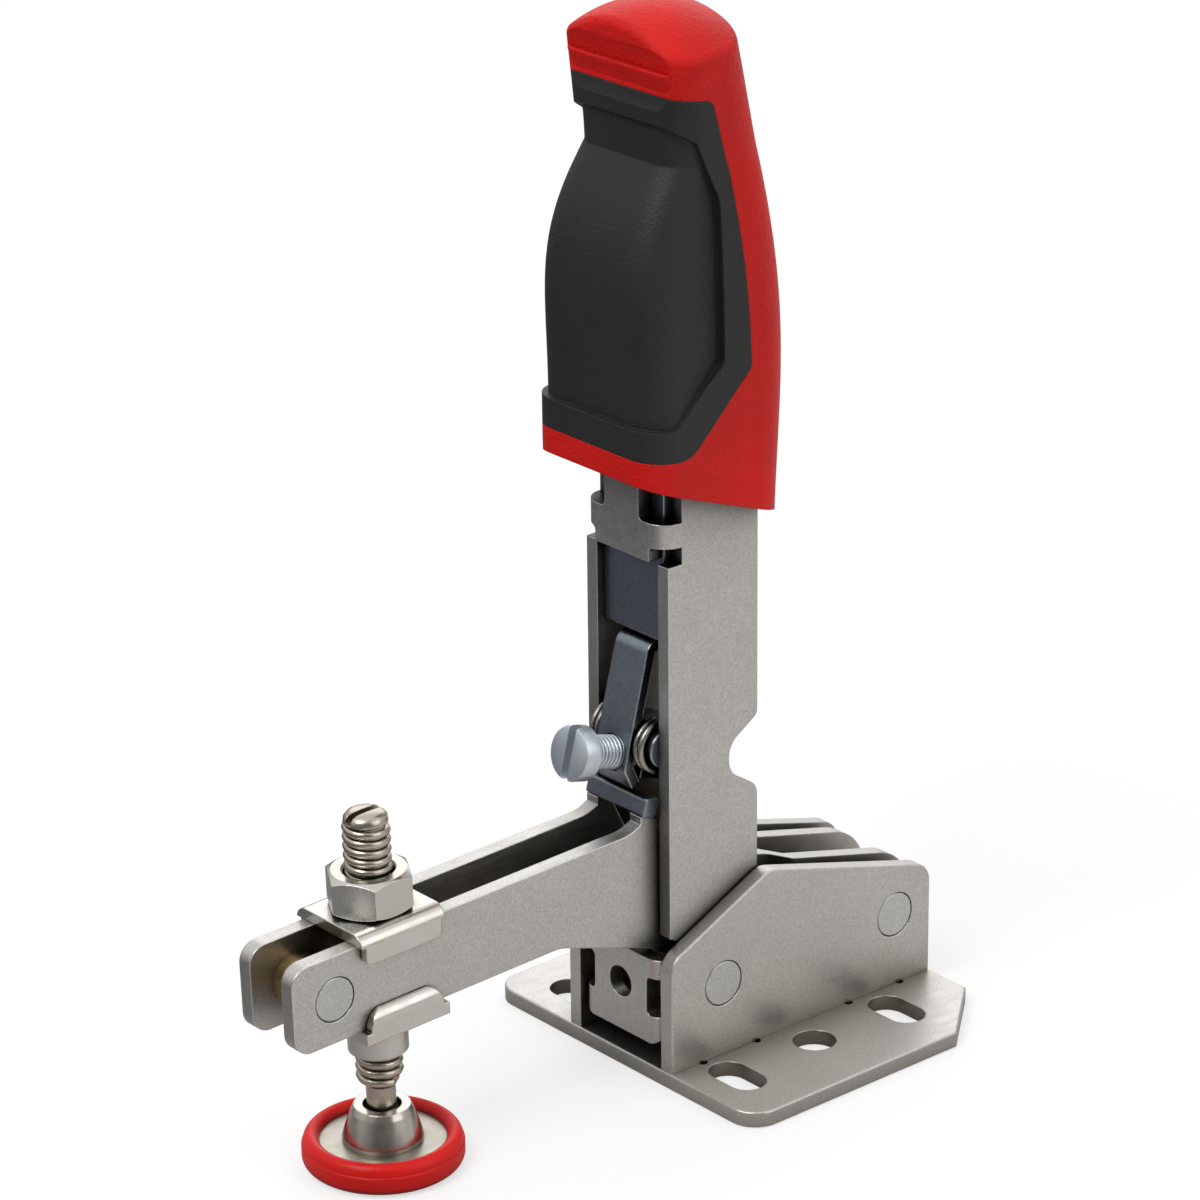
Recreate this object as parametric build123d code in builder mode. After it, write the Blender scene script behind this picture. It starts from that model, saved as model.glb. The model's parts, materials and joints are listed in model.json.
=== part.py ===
from build123d import *
from math import cos, radians, sin, sqrt, tan
import os

# Toggle clamp with an upright handle and an open, U-shaped holding arm.
# Millimetres. +Z is up and the underside of the base is Z = 0. The origin is the
# middle of the base's fixing pattern, the arm points along -Y, and X = 0 is the plane
# of symmetry. Modelled locked: handle upright, arm down, pad level with the base.

# ---- driving sizes --------------------------------------------------------------

# base and its two upright brackets
base_length = 60.0
base_width = 67.4
base_sheet = 2.7
base_front_overhang = 8.3            # front edge ahead of the front row of slots
base_front_radius = 5.0
base_rear_chamfer_x = 11.2
base_rear_chamfer_y = 13.2
slot_spacing_x = 41.4
slot_spacing_y = 36.8
slot_length = 11.4
slot_width = 6.7
hole_spacing_x = 39.6
hole_diameter = 7.5
bracket_sheet = 2.8
bracket_setback = 0.3                # front edges behind the base's front edge
bracket_front_height = 23.3
bracket_apex_height = 33.7
bracket_rear_height = 22.9
bracket_apex_behind_front = 21.9
bracket_corner_radius = 4.0
tab_length = 12.0
tab_spacing = 33.5
tab_clearance = 0.05
edge_round = 0.35                    # worn edge of every thick stamped plate

# pivots
front_pin_behind_edge = 11.9
pin_spacing = 39.7
pin_height = 16.0
pin_diameter = 6.0
pin_head_diameter = 8.0
pin_head_depth = 1.5
head_gap = 0.1
running_fit = 0.05
arm_rivet_back = 0.6                 # arm-to-handle rivet, behind the front pin
arm_rivet_up = 8.5                   # and above it
small_rivet_diameter = 4.4
small_head_diameter = 6.4
crank_length = 7.76                  # arm rivet to the link's front pin

# side by side layers, from the middle out
spindle_diameter = 7.9
arm_slot_clearance = 0.15            # spindle to each arm plate
arm_sheet = 2.75
arm_handle_gap = 0.75
handle_sheet = 2.55
handle_bracket_gap = 0.3
link_sheet = 2.7
link_handle_gap = 0.6                # wide rear part of the link to the handle
link_arm_gap = 0.2                   # narrow front part of the link to the arm

# holding arm
arm_height = 15.25
arm_droop = 1.7                      # degrees nose down when locked
arm_nose_reach = 21.4                # spindle to the nose end
arm_nose_radius = 3.2
arm_rivet_lobe = 4.3
arm_pin_lobe = 5.2
arm_shoulder_radius = 8.0
nose_rivet_reach = 13.1
nose_rivet_diameter = 5.0
nose_head_diameter = 7.6
nose_sleeve_diameter = 8.4
spindle_ahead = 63.65                # spindle ahead of the front pin, mid arm
spindle_arm_height = 36.7

# stop yoke round the front pin
yoke_front_gap = 0.1                 # web behind the bracket's front edge
yoke_sheet = 2.5
yoke_bottom = 6.4
yoke_top = 22.1
yoke_side_top = 19.5
yoke_hole_diameter = 5.6
yoke_bend_radius = 3.0
yoke_window_low = 11.5
yoke_window_high = 18.6

# handle channel
handle_front_gap = 2.4               # plate edge behind the bracket's front edge
handle_depth = 19.5
handle_foot_height = 26.0
handle_top_height = 148.0
neck_height = 93.0
neck_proud = 1.2                     # web face ahead of the plate edges
neck_bend_radius = 4.0
relief_above_neck = 6.7
relief_height = 6.1
relief_inner = 4.2
notch_middle = 55.0
notch_mouth = 12.9
notch_floor = 5.0
notch_depth = 6.3
notch_floor_radius = 4.0
notch_mouth_radius = 1.5
lobe_wall = 1.4
lobe_gap = 0.35                      # handle's foot to the yoke
handle_lag = 9.56                    # degrees the handle turns past the arm when opened

# clamping-force adjuster inside the channel
back_plate_sheet = 2.5
back_plate_bottom = 78.3
back_plate_top = 128.0
inner_side_gap = 0.1
lever_lean = 14.7
lever_width = 8.0
lever_sheet = 1.8
lever_top = 76.2
lever_top_behind_edge = 1.8          # lever's upper bend behind the plate edges
lever_top_return = 4.5
lever_foot_length = 1.5
lever_foot_gap = 0.3                 # above the cross bar
screw_diameter = 5.9
screw_head_diameter = 9.4
screw_head_height = 3.9
screw_slot_width = 1.7
screw_slot_depth = 2.0
screw_height = 57.8                  # where the screw's axis crosses the lever
screw_head_ahead = 10.4              # head face to the lever along the axis
nut_bar_width = 8.0
nut_bar_depth = 7.0
nut_bar_gap = 2.0                    # behind the lever
nut_bar_above = 6.2                  # above the screw's axis
nut_bar_below = 3.8
trunnion_diameter = 6.6
trunnion_behind_edge = 1.6
trunnion_height = 59.4
spring_wire = 1.1
spring_pitch = 1.15
spring_turns = 2.0
cross_bar_height = 3.3
cross_bar_depth = 2.9
cross_bar_behind_edge = -1.6
cross_bar_level = 49.5
cross_bar_end_gap = 0.25

# link
link_rear_radius = 9.2
link_front_radius = 3.6
link_top_slope = 14.6
joggle_start = 9.9                   # wide part begins this far behind the front pin
joggle_length = 3.4
link_spacer_diameter = 8.0

# grip
grip_side_wall = 5.0                 # outside of the channel to the widest part
grip_front_radius = 5.5
grip_rear_radius = 8.5
grip_base_height = 107.0
grip_base_slope = 20.1
grip_top_height = 184.0
grip_crown_radius = 22.0
crown_middle = 8.0                   # crown's highest point behind the web
crown_round = 1.8
dish_radius = 14.0                   # thumb hollow across the front under the crown
dish_depth = 0.5
dish_below_top = 10.6
dish_half_width = 12.4
grip_core_side = 1.8                 # red core outside the channel
grip_core_front = 2.2
grip_core_corner = 4.0
grip_core_roof = 1.8
grip_tongue_bottom = 104.0           # moulded tongue that fills the channel
grip_rear_skin = 1.5
grip_core_neck = 3.0                 # upper core, narrower on each side and behind the web
grip_core_below_top = 19.0
grip_window_low = 113.4
grip_window_high = 172.0
grip_window_rear = 14.8              # window's rear edge behind the web
grip_kink_below_top = 24.0
pad_recess = 0.9
lip_height = 119.4
scoop_depth = 1.5
scoop_rear = 9.0                     # scoop's rear wall behind the web

# spindle, saddles and pad
spindle_top = 63.2
spindle_slot_width = 1.4
spindle_slot_depth = 1.6
thread_bottom = 15.0
neck_diameter = 4.9
ball_diameter = 6.8
ball_height = 7.6
socket_clearance = 0.05
saddle_sheet = 2.0
saddle_length = 16.8
saddle_side_gap = 0.2
saddle_bend_radius = 2.4
saddle_skirt = 3.2
upper_skirt_setback = 0.8
upper_skirt_corner = 1.2
lower_skirt = 3.7
lower_skirt_setback = 1.0
lower_skirt_corner = 3.5
saddle_hole_clearance = 0.15
saddle_sheet_side = 1.5
sleeve_diameter = 10.0
sleeve_chamfer = 0.5
sleeve_bottom = 20.3
nut_width = 13.0
nut_height = 6.6
cup_top = 10.3
mouth_clearance = 0.75
cup_bottom = 4.0
cup_top_diameter = 9.4
cup_foot_diameter = 13.4
disc_diameter = 23.0
disc_sheet = 1.2
cap_diameter = 26.8
cap_height = 5.5
cap_lip = 3.0
cap_seam = 3.4
cap_seam_depth = 0.25

# ---- places worked out from the sizes ----------------------------------------------

base_front = -slot_spacing_y / 2 - base_front_overhang
base_rear = base_front + base_length
bracket_front = base_front + bracket_setback
bracket_rear = base_rear
front_pin = (base_front + front_pin_behind_edge, pin_height)
rear_pin = (front_pin[0] + pin_spacing, pin_height)
arm_rivet = (front_pin[0] + arm_rivet_back, front_pin[1] + arm_rivet_up)
toggle_run = (rear_pin[0] - arm_rivet[0], rear_pin[1] - arm_rivet[1])
toggle_length = sqrt(toggle_run[0] ** 2 + toggle_run[1] ** 2)
crank_pin = (
    arm_rivet[0] + toggle_run[0] * crank_length / toggle_length,
    arm_rivet[1] + toggle_run[1] * crank_length / toggle_length,
)

spindle_radius = spindle_diameter / 2
arm_inner = spindle_radius + arm_slot_clearance
arm_outer = arm_inner + arm_sheet
handle_inner = arm_outer + arm_handle_gap
handle_outer = handle_inner + handle_sheet
bracket_inner = handle_outer + handle_bracket_gap
bracket_outer = bracket_inner + bracket_sheet
link_wide_outer = handle_inner - link_handle_gap
link_wide_inner = link_wide_outer - link_sheet
link_narrow_outer = arm_inner - link_arm_gap
link_narrow_inner = link_narrow_outer - link_sheet

pin_radius = pin_diameter / 2
pin_bore = pin_radius + running_fit
head_radius = pin_head_diameter / 2
small_radius = small_rivet_diameter / 2
small_bore = small_radius + running_fit

handle_front = bracket_front + handle_front_gap
handle_rear = handle_front + handle_depth
neck_front = handle_front - neck_proud
cross_bar_y = handle_front + cross_bar_behind_edge
lean = radians(lever_lean)
droop = radians(arm_droop)
spindle_y = front_pin[0] - spindle_ahead


def along_arm(ahead, up):
    """Y and Z of a point on the arm, measured from the spindle at mid height."""
    rearward = -ahead
    return (
        spindle_y + rearward * cos(droop) - up * sin(droop),
        spindle_arm_height + rearward * sin(droop) + up * cos(droop),
    )


def on_circle(centre, radius, angle):
    """A point on a circle in the side view, the angle in degrees from +Y."""
    return (
        centre[0] + radius * cos(radians(angle)),
        centre[1] + radius * sin(radians(angle)),
    )


def nearest(sketch, point):
    """The corner of a side-view sketch that lies at a point."""
    return sketch.vertices().sort_by_distance((*point, 0))[0]


def layer_start(sign, inner, sheet):
    """The X where a plate of one side starts, so that it is extruded along +X."""
    return inner if sign > 0 else -inner - sheet


sides = (("left", -1), ("right", 1))
arm_section = Plane(
    origin=(0, spindle_y, spindle_arm_height),
    x_dir=(1, 0, 0),
    z_dir=(0, -sin(droop), cos(droop)),
)
os.makedirs("parts", exist_ok=True)

# ---- base -----------------------------------------------------------------------

base_middle = (base_front + base_rear) / 2
tab_middle = base_middle
tab_rows = (tab_middle - tab_spacing / 2, tab_middle + tab_spacing / 2)

with BuildPart() as base_plate:
    with BuildSketch() as base_outline:
        with Locations((0, base_middle)):
            Rectangle(base_width, base_length)
        fillet(base_outline.vertices().group_by(Axis.Y)[0], base_front_radius)
        rear_y = base_rear - base_rear_chamfer_y
        rear_x = base_width / 2 - base_rear_chamfer_x
        for sign in (-1, 1):
            with BuildLine():
                Polyline(
                    (sign * base_width / 2, rear_y),
                    (sign * base_width / 2, base_rear),
                    (sign * rear_x, base_rear),
                    close=True,
                )
            make_face(mode=Mode.SUBTRACT)
        with GridLocations(slot_spacing_x, slot_spacing_y, 2, 2):
            SlotOverall(slot_length, slot_width, mode=Mode.SUBTRACT)
        with GridLocations(hole_spacing_x, 1, 2, 1):
            Circle(hole_diameter / 2, mode=Mode.SUBTRACT)
        tab_x = bracket_inner + bracket_sheet / 2
        for row in tab_rows:
            with Locations((-tab_x, row), (tab_x, row)):
                Rectangle(bracket_sheet + 2 * tab_clearance, tab_length + 2 * tab_clearance, mode=Mode.SUBTRACT)
            for end in (-1, 1):
                corner_y = row + end * (tab_length / 2 + tab_clearance)
                with Locations((-bracket_outer, corner_y), (bracket_outer, corner_y)):
                    Circle(0.8, mode=Mode.SUBTRACT)
    extrude(amount=base_sheet)
    top_rim = base_plate.faces().sort_by(Axis.Z)[-1].outer_wire().edges()
    fillet(top_rim, edge_round)
base_plate.part.label = "base_plate"
export_step(base_plate.part, "parts/base_plate.step")

for side, sign in sides:
    start = layer_start(sign, bracket_inner, bracket_sheet)
    with BuildPart() as bracket:
        with BuildSketch(Plane.YZ.offset(start)) as bracket_face:
            with BuildLine():
                Polyline(
                    (bracket_front, base_sheet),
                    (bracket_front, bracket_front_height),
                    (bracket_front + bracket_apex_behind_front, bracket_apex_height),
                    (bracket_rear, bracket_rear_height),
                    (bracket_rear, base_sheet),
                    close=True,
                )
            make_face()
            upper = bracket_face.vertices().filter_by(lambda corner: corner.Y > base_sheet + 0.01)
            fillet(upper, bracket_corner_radius)
            for row in tab_rows:
                with Locations((row, base_sheet / 2)):
                    Rectangle(tab_length, base_sheet)
        extrude(amount=bracket_sheet)
        outer_face = bracket.faces().filter_by(Axis.X).sort_by(Axis.X)[-1 if sign > 0 else 0]
        rim = outer_face.outer_wire().edges().filter_by(lambda edge: edge.center().Z > base_sheet + 0.01)
        fillet(rim, edge_round)
        with BuildSketch(Plane.YZ.offset(start)):
            with Locations(front_pin, rear_pin):
                Circle(pin_bore)
        extrude(amount=bracket_sheet, mode=Mode.SUBTRACT)
        sink_start = bracket_outer - pin_head_depth if sign > 0 else -bracket_outer
        with BuildSketch(Plane.YZ.offset(sink_start)):
            with Locations(front_pin, rear_pin):
                Circle(head_radius + head_gap)
        extrude(amount=pin_head_depth, mode=Mode.SUBTRACT)
    bracket.part.label = f"bracket_{side}"
    export_step(bracket.part, f"parts/bracket_{side}.step")

for name, centre in (("front_pin", front_pin), ("rear_pin", rear_pin)):
    with BuildPart() as pin:
        with BuildSketch(Plane.YZ.offset(-bracket_outer + pin_head_depth)):
            with Locations(centre):
                Circle(pin_radius)
        extrude(amount=2 * (bracket_outer - pin_head_depth))
        for head_start in (-bracket_outer, bracket_outer - pin_head_depth):
            with BuildSketch(Plane.YZ.offset(head_start)):
                with Locations(centre):
                    Circle(head_radius)
            extrude(amount=pin_head_depth)
        fillet(pin.faces().filter_by(Axis.X).sort_by(Axis.X)[-1].edges(), 0.3)
        fillet(pin.faces().filter_by(Axis.X).sort_by(Axis.X)[0].edges(), 0.3)
    pin.part.label = name
    export_step(pin.part, f"parts/{name}.step")

for side, sign in sides:
    spacer_length = bracket_inner - link_wide_outer - 2 * running_fit
    start = layer_start(sign, link_wide_outer + running_fit, spacer_length)
    with BuildPart() as rear_spacer:
        with BuildSketch(Plane.YZ.offset(start)):
            with Locations(rear_pin):
                Circle(link_spacer_diameter / 2)
                Circle(pin_bore, mode=Mode.SUBTRACT)
        extrude(amount=spacer_length)
    rear_spacer.part.label = f"rear_spacer_{side}"
    export_step(rear_spacer.part, f"parts/rear_spacer_{side}.step")

# ---- holding arm ------------------------------------------------------------------

half_arm = arm_height / 2
bar_tilt = radians(lever_lean)
bar_foot_front = (
    cross_bar_y - cross_bar_depth / 2 * cos(bar_tilt) - cross_bar_height / 2 * sin(bar_tilt),
    cross_bar_level + cross_bar_depth / 2 * sin(bar_tilt) - cross_bar_height / 2 * cos(bar_tilt),
)
bar_foot_rear = (
    bar_foot_front[0] + cross_bar_depth * cos(bar_tilt),
    bar_foot_front[1] - cross_bar_depth * sin(bar_tilt),
)
arm_knee = along_arm(-33.2, -half_arm)
arm_shoulder = along_arm(-48.8, half_arm)
arm_heel = (front_pin[0] - 10.7, front_pin[1] + 7.7)

for side, sign in sides:
    start = layer_start(sign, arm_inner, arm_sheet)
    with BuildPart() as arm_plate:
        with BuildSketch(Plane.YZ.offset(start)) as arm_face:
            with BuildLine():
                Polyline(
                    along_arm(arm_nose_reach, -half_arm),
                    along_arm(arm_nose_reach, half_arm),
                    arm_shoulder,
                    (bar_foot_front[0], bar_foot_front[1] - 1.4),
                    bar_foot_front,
                    bar_foot_rear,
                    (front_pin[0] - 2.7, front_pin[1] + 17.0),
                    on_circle(arm_rivet, arm_rivet_lobe, 25),
                    arm_rivet,
                    front_pin,
                    on_circle(front_pin, arm_pin_lobe, 140),
                    arm_heel,
                    arm_knee,
                    close=True,
                )
            make_face()
            fillet(nearest(arm_face, along_arm(arm_nose_reach, -half_arm)), arm_nose_radius)
            fillet(nearest(arm_face, along_arm(arm_nose_reach, half_arm)), arm_nose_radius)
            fillet(nearest(arm_face, arm_shoulder), arm_shoulder_radius)
            fillet(nearest(arm_face, arm_knee), 9)
            fillet(nearest(arm_face, arm_heel), 5)
        extrude(amount=arm_sheet)
        with BuildSketch(Plane.YZ.offset(start)):
            with Locations(arm_rivet):
                Circle(arm_rivet_lobe)
            with Locations(front_pin):
                Circle(arm_pin_lobe)
            make_hull()
        extrude(amount=arm_sheet)
        with BuildSketch(Plane.YZ.offset(start)):
            with Locations(along_arm(nose_rivet_reach, 0)):
                Circle(nose_rivet_diameter / 2)
            with Locations(arm_rivet):
                Circle(small_radius)
            with Locations(front_pin):
                Circle(pin_bore)
        extrude(amount=arm_sheet, mode=Mode.SUBTRACT)
        sink_start = arm_outer - pin_head_depth if sign > 0 else -arm_outer
        with BuildSketch(Plane.YZ.offset(sink_start)):
            with Locations(along_arm(nose_rivet_reach, 0)):
                Circle(nose_head_diameter / 2 + head_gap)
        extrude(amount=pin_head_depth, mode=Mode.SUBTRACT)
    arm_plate.part.label = f"arm_plate_{side}"
    export_step(arm_plate.part, f"parts/arm_plate_{side}.step")

with BuildPart() as nose_rivet:
    with BuildSketch(Plane.YZ.offset(-arm_outer + pin_head_depth)):
        with Locations(along_arm(nose_rivet_reach, 0)):
            Circle(nose_rivet_diameter / 2)
    extrude(amount=2 * (arm_outer - pin_head_depth))
    for head_start in (-arm_outer, arm_outer - pin_head_depth):
        with BuildSketch(Plane.YZ.offset(head_start)):
            with Locations(along_arm(nose_rivet_reach, 0)):
                Circle(nose_head_diameter / 2)
        extrude(amount=pin_head_depth)
    ends = nose_rivet.faces().filter_by(Axis.X).sort_by(Axis.X)
    fillet(ends[0].edges() + ends[-1].edges(), 0.3)
nose_rivet.part.label = "nose_rivet"
export_step(nose_rivet.part, "parts/nose_rivet.step")

with BuildPart() as nose_sleeve:
    with BuildSketch(Plane.YZ.offset(-arm_inner)):
        with Locations(along_arm(nose_rivet_reach, 0)):
            Circle(nose_sleeve_diameter / 2)
            Circle(nose_rivet_diameter / 2, mode=Mode.SUBTRACT)
    extrude(amount=2 * arm_inner)
nose_sleeve.part.label = "nose_sleeve"
export_step(nose_sleeve.part, "parts/nose_sleeve.step")

yoke_front = bracket_front + yoke_front_gap
handle_lobe = small_radius + lobe_wall
crank_turn = radians(handle_lag)
crank_run = (crank_pin[0] - arm_rivet[0], crank_pin[1] - arm_rivet[1])
crank_pin_open = (
    arm_rivet[0] + crank_run[0] * cos(crank_turn) + crank_run[1] * sin(crank_turn),
    arm_rivet[1] - crank_run[0] * sin(crank_turn) + crank_run[1] * cos(crank_turn),
)
yoke_rear = front_pin[0] + arm_pin_lobe
window_height = yoke_window_high - yoke_window_low

with BuildPart() as arm_yoke:
    with BuildSketch(Plane.XY.offset(yoke_bottom)) as yoke_plan:
        with Locations((0, (yoke_front + yoke_rear) / 2)):
            Rectangle(2 * handle_outer, yoke_rear - yoke_front)
        fillet(yoke_plan.vertices().group_by(Axis.Y)[0], yoke_bend_radius)
        inner_front = yoke_front + yoke_sheet
        with Locations((0, (inner_front + yoke_rear) / 2)):
            Rectangle(2 * handle_inner, yoke_rear - inner_front, mode=Mode.SUBTRACT)
    extrude(amount=yoke_top - yoke_bottom)
    with BuildSketch(Plane.YZ):
        with BuildLine():
            Polyline(
                (yoke_front, yoke_bottom),
                (yoke_front, yoke_top),
                (yoke_front + yoke_sheet + 1, yoke_top),
                (front_pin[0] - arm_pin_lobe, yoke_side_top),
                (front_pin[0], front_pin[1] + arm_pin_lobe),
                front_pin,
                (front_pin[0], front_pin[1] - arm_pin_lobe),
                (yoke_front + yoke_sheet + 2, yoke_bottom),
                close=True,
            )
        make_face()
        with Locations(front_pin):
            Circle(arm_pin_lobe)
    extrude(amount=handle_outer, both=True, mode=Mode.INTERSECT)
    with BuildSketch(Plane.YZ):
        with Locations(arm_rivet, crank_pin, crank_pin_open):
            Circle(handle_lobe + lobe_gap)
        make_hull()
    extrude(amount=handle_outer, both=True, mode=Mode.SUBTRACT)
    with BuildSketch(Plane.XZ.offset(-yoke_rear)) as yoke_face:
        with Locations((0, (yoke_top + yoke_bottom) / 2)):
            Rectangle(2 * handle_outer, yoke_top - yoke_bottom)
        fillet(yoke_face.vertices().group_by(Axis.Y)[0], yoke_bend_radius)
        with Locations((0, front_pin[1] - 0.7)):
            Circle(yoke_hole_diameter / 2, mode=Mode.SUBTRACT)
    extrude(amount=yoke_rear - yoke_front, mode=Mode.INTERSECT)
    for sign in (-1, 1):
        with BuildSketch(Plane.XZ.offset(-yoke_front - yoke_bend_radius - 0.6)) as yoke_window:
            with Locations((sign * (handle_inner + 1.2), (yoke_window_low + yoke_window_high) / 2)):
                Rectangle(2 * 2.2, window_height)
            fillet(yoke_window.vertices(), 1)
        extrude(amount=yoke_bend_radius + 2, mode=Mode.SUBTRACT)
        with BuildSketch(Plane.YZ.offset(layer_start(sign, handle_inner, handle_sheet))):
            with Locations(front_pin):
                Circle(pin_bore)
        extrude(amount=handle_sheet, mode=Mode.SUBTRACT)
arm_yoke.part.label = "arm_yoke"
export_step(arm_yoke.part, "parts/arm_yoke.step")

for side, sign in sides:
    length = handle_outer - arm_inner
    collar = arm_handle_gap - 2 * running_fit
    with BuildPart() as arm_rivet_piece:
        with BuildSketch(Plane.YZ.offset(layer_start(sign, arm_inner, length))):
            with Locations(arm_rivet):
                Circle(small_radius)
        extrude(amount=length)
        with BuildSketch(Plane.YZ.offset(layer_start(sign, arm_outer + running_fit, collar))):
            with Locations(arm_rivet):
                Circle(small_head_diameter / 2)
        extrude(amount=collar)
    arm_rivet_piece.part.label = f"arm_rivet_{side}"
    export_step(arm_rivet_piece.part, f"parts/arm_rivet_{side}.step")

bar_plane = Plane(
    origin=(0, cross_bar_y, cross_bar_level),
    x_dir=(0, cos(bar_tilt), -sin(bar_tilt)),
    z_dir=(1, 0, 0),
)
bar_half_length = handle_inner - cross_bar_end_gap

with BuildPart() as cross_bar:
    with BuildSketch(bar_plane) as bar_section:
        Rectangle(cross_bar_depth, cross_bar_height)
        fillet(bar_section.vertices(), 0.45)
    extrude(amount=bar_half_length, both=True)
    bar_ends = cross_bar.faces().filter_by(Axis.X).sort_by(Axis.X)
    fillet(bar_ends[0].edges() + bar_ends[-1].edges(), 0.3)
cross_bar.part.label = "cross_bar"
export_step(cross_bar.part, "parts/cross_bar.step")

# ---- link -----------------------------------------------------------------------

link_rise = 90 - link_top_slope
link_top_rear = on_circle(rear_pin, link_rear_radius, link_rise)
link_top_run = link_top_rear[0] - (crank_pin[0] + 4.4)
link_top_front = (
    link_top_rear[0] - link_top_run,
    link_top_rear[1] + link_top_run * tan(radians(link_top_slope)),
)
joggle_front = crank_pin[0] + joggle_start
joggle_rear = joggle_front + joggle_length
link_front_end = crank_pin[0] - link_front_radius - 1
link_rear_end = rear_pin[0] + link_rear_radius + 1

for side, sign in sides:
    with BuildPart() as link_plate:
        with BuildSketch() as link_plan:
            with BuildLine():
                Polyline(
                    (sign * link_narrow_inner, link_front_end),
                    (sign * link_narrow_outer, link_front_end),
                    (sign * link_narrow_outer, joggle_front),
                    (sign * link_wide_outer, joggle_rear),
                    (sign * link_wide_outer, link_rear_end),
                    (sign * link_wide_inner, link_rear_end),
                    (sign * link_wide_inner, joggle_rear),
                    (sign * link_narrow_inner, joggle_front),
                    close=True,
                )
            make_face()
            bends = link_plan.vertices().filter_by(
                lambda corner: link_front_end + 1 < corner.Y < link_rear_end - 1
            )
            fillet(bends, 1.5)
        extrude(amount=bracket_apex_height + 10)
        with BuildSketch(Plane.YZ) as link_face:
            with BuildLine():
                Polyline(
                    link_top_rear,
                    link_top_front,
                    on_circle(crank_pin, link_front_radius, 150),
                    crank_pin,
                    on_circle(crank_pin, link_front_radius, 258),
                    on_circle(rear_pin, link_rear_radius, 248),
                    rear_pin,
                    close=True,
                )
            make_face()
            fillet(nearest(link_face, link_top_front), 6)
            with Locations(crank_pin):
                Circle(link_front_radius)
            with Locations(rear_pin):
                Circle(link_rear_radius)
                Circle(pin_bore, mode=Mode.SUBTRACT)
            with Locations(crank_pin):
                Circle(small_radius, mode=Mode.SUBTRACT)
        extrude(amount=link_wide_outer, both=True, mode=Mode.INTERSECT)
    link_plate.part.label = f"link_plate_{side}"
    export_step(link_plate.part, f"parts/link_plate_{side}.step")

with BuildPart() as link_front_pin:
    with BuildSketch(Plane.YZ.offset(-link_narrow_outer)):
        with Locations(crank_pin):
            Circle(small_radius)
    extrude(amount=2 * link_narrow_outer)
link_front_pin.part.label = "link_front_pin"
export_step(link_front_pin.part, "parts/link_front_pin.step")

with BuildPart() as link_front_spacer:
    with BuildSketch(Plane.YZ.offset(-link_narrow_inner)):
        with Locations(crank_pin):
            Circle(link_front_radius - 0.3)
            Circle(small_radius, mode=Mode.SUBTRACT)
    extrude(amount=2 * link_narrow_inner)
link_front_spacer.part.label = "link_front_spacer"
export_step(link_front_spacer.part, "parts/link_front_spacer.step")

with BuildPart() as link_rear_spacer:
    with BuildSketch(Plane.YZ.offset(-link_wide_inner)):
        with Locations(rear_pin):
            Circle(link_spacer_diameter / 2 + 1)
            Circle(pin_bore, mode=Mode.SUBTRACT)
    extrude(amount=2 * link_wide_inner)
link_rear_spacer.part.label = "link_rear_spacer"
export_step(link_rear_spacer.part, "parts/link_rear_spacer.step")

# ---- handle channel ---------------------------------------------------------------

notch_floor_y = handle_rear - notch_depth
bend_end = neck_front + neck_bend_radius
foot_lift = 0.8

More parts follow.
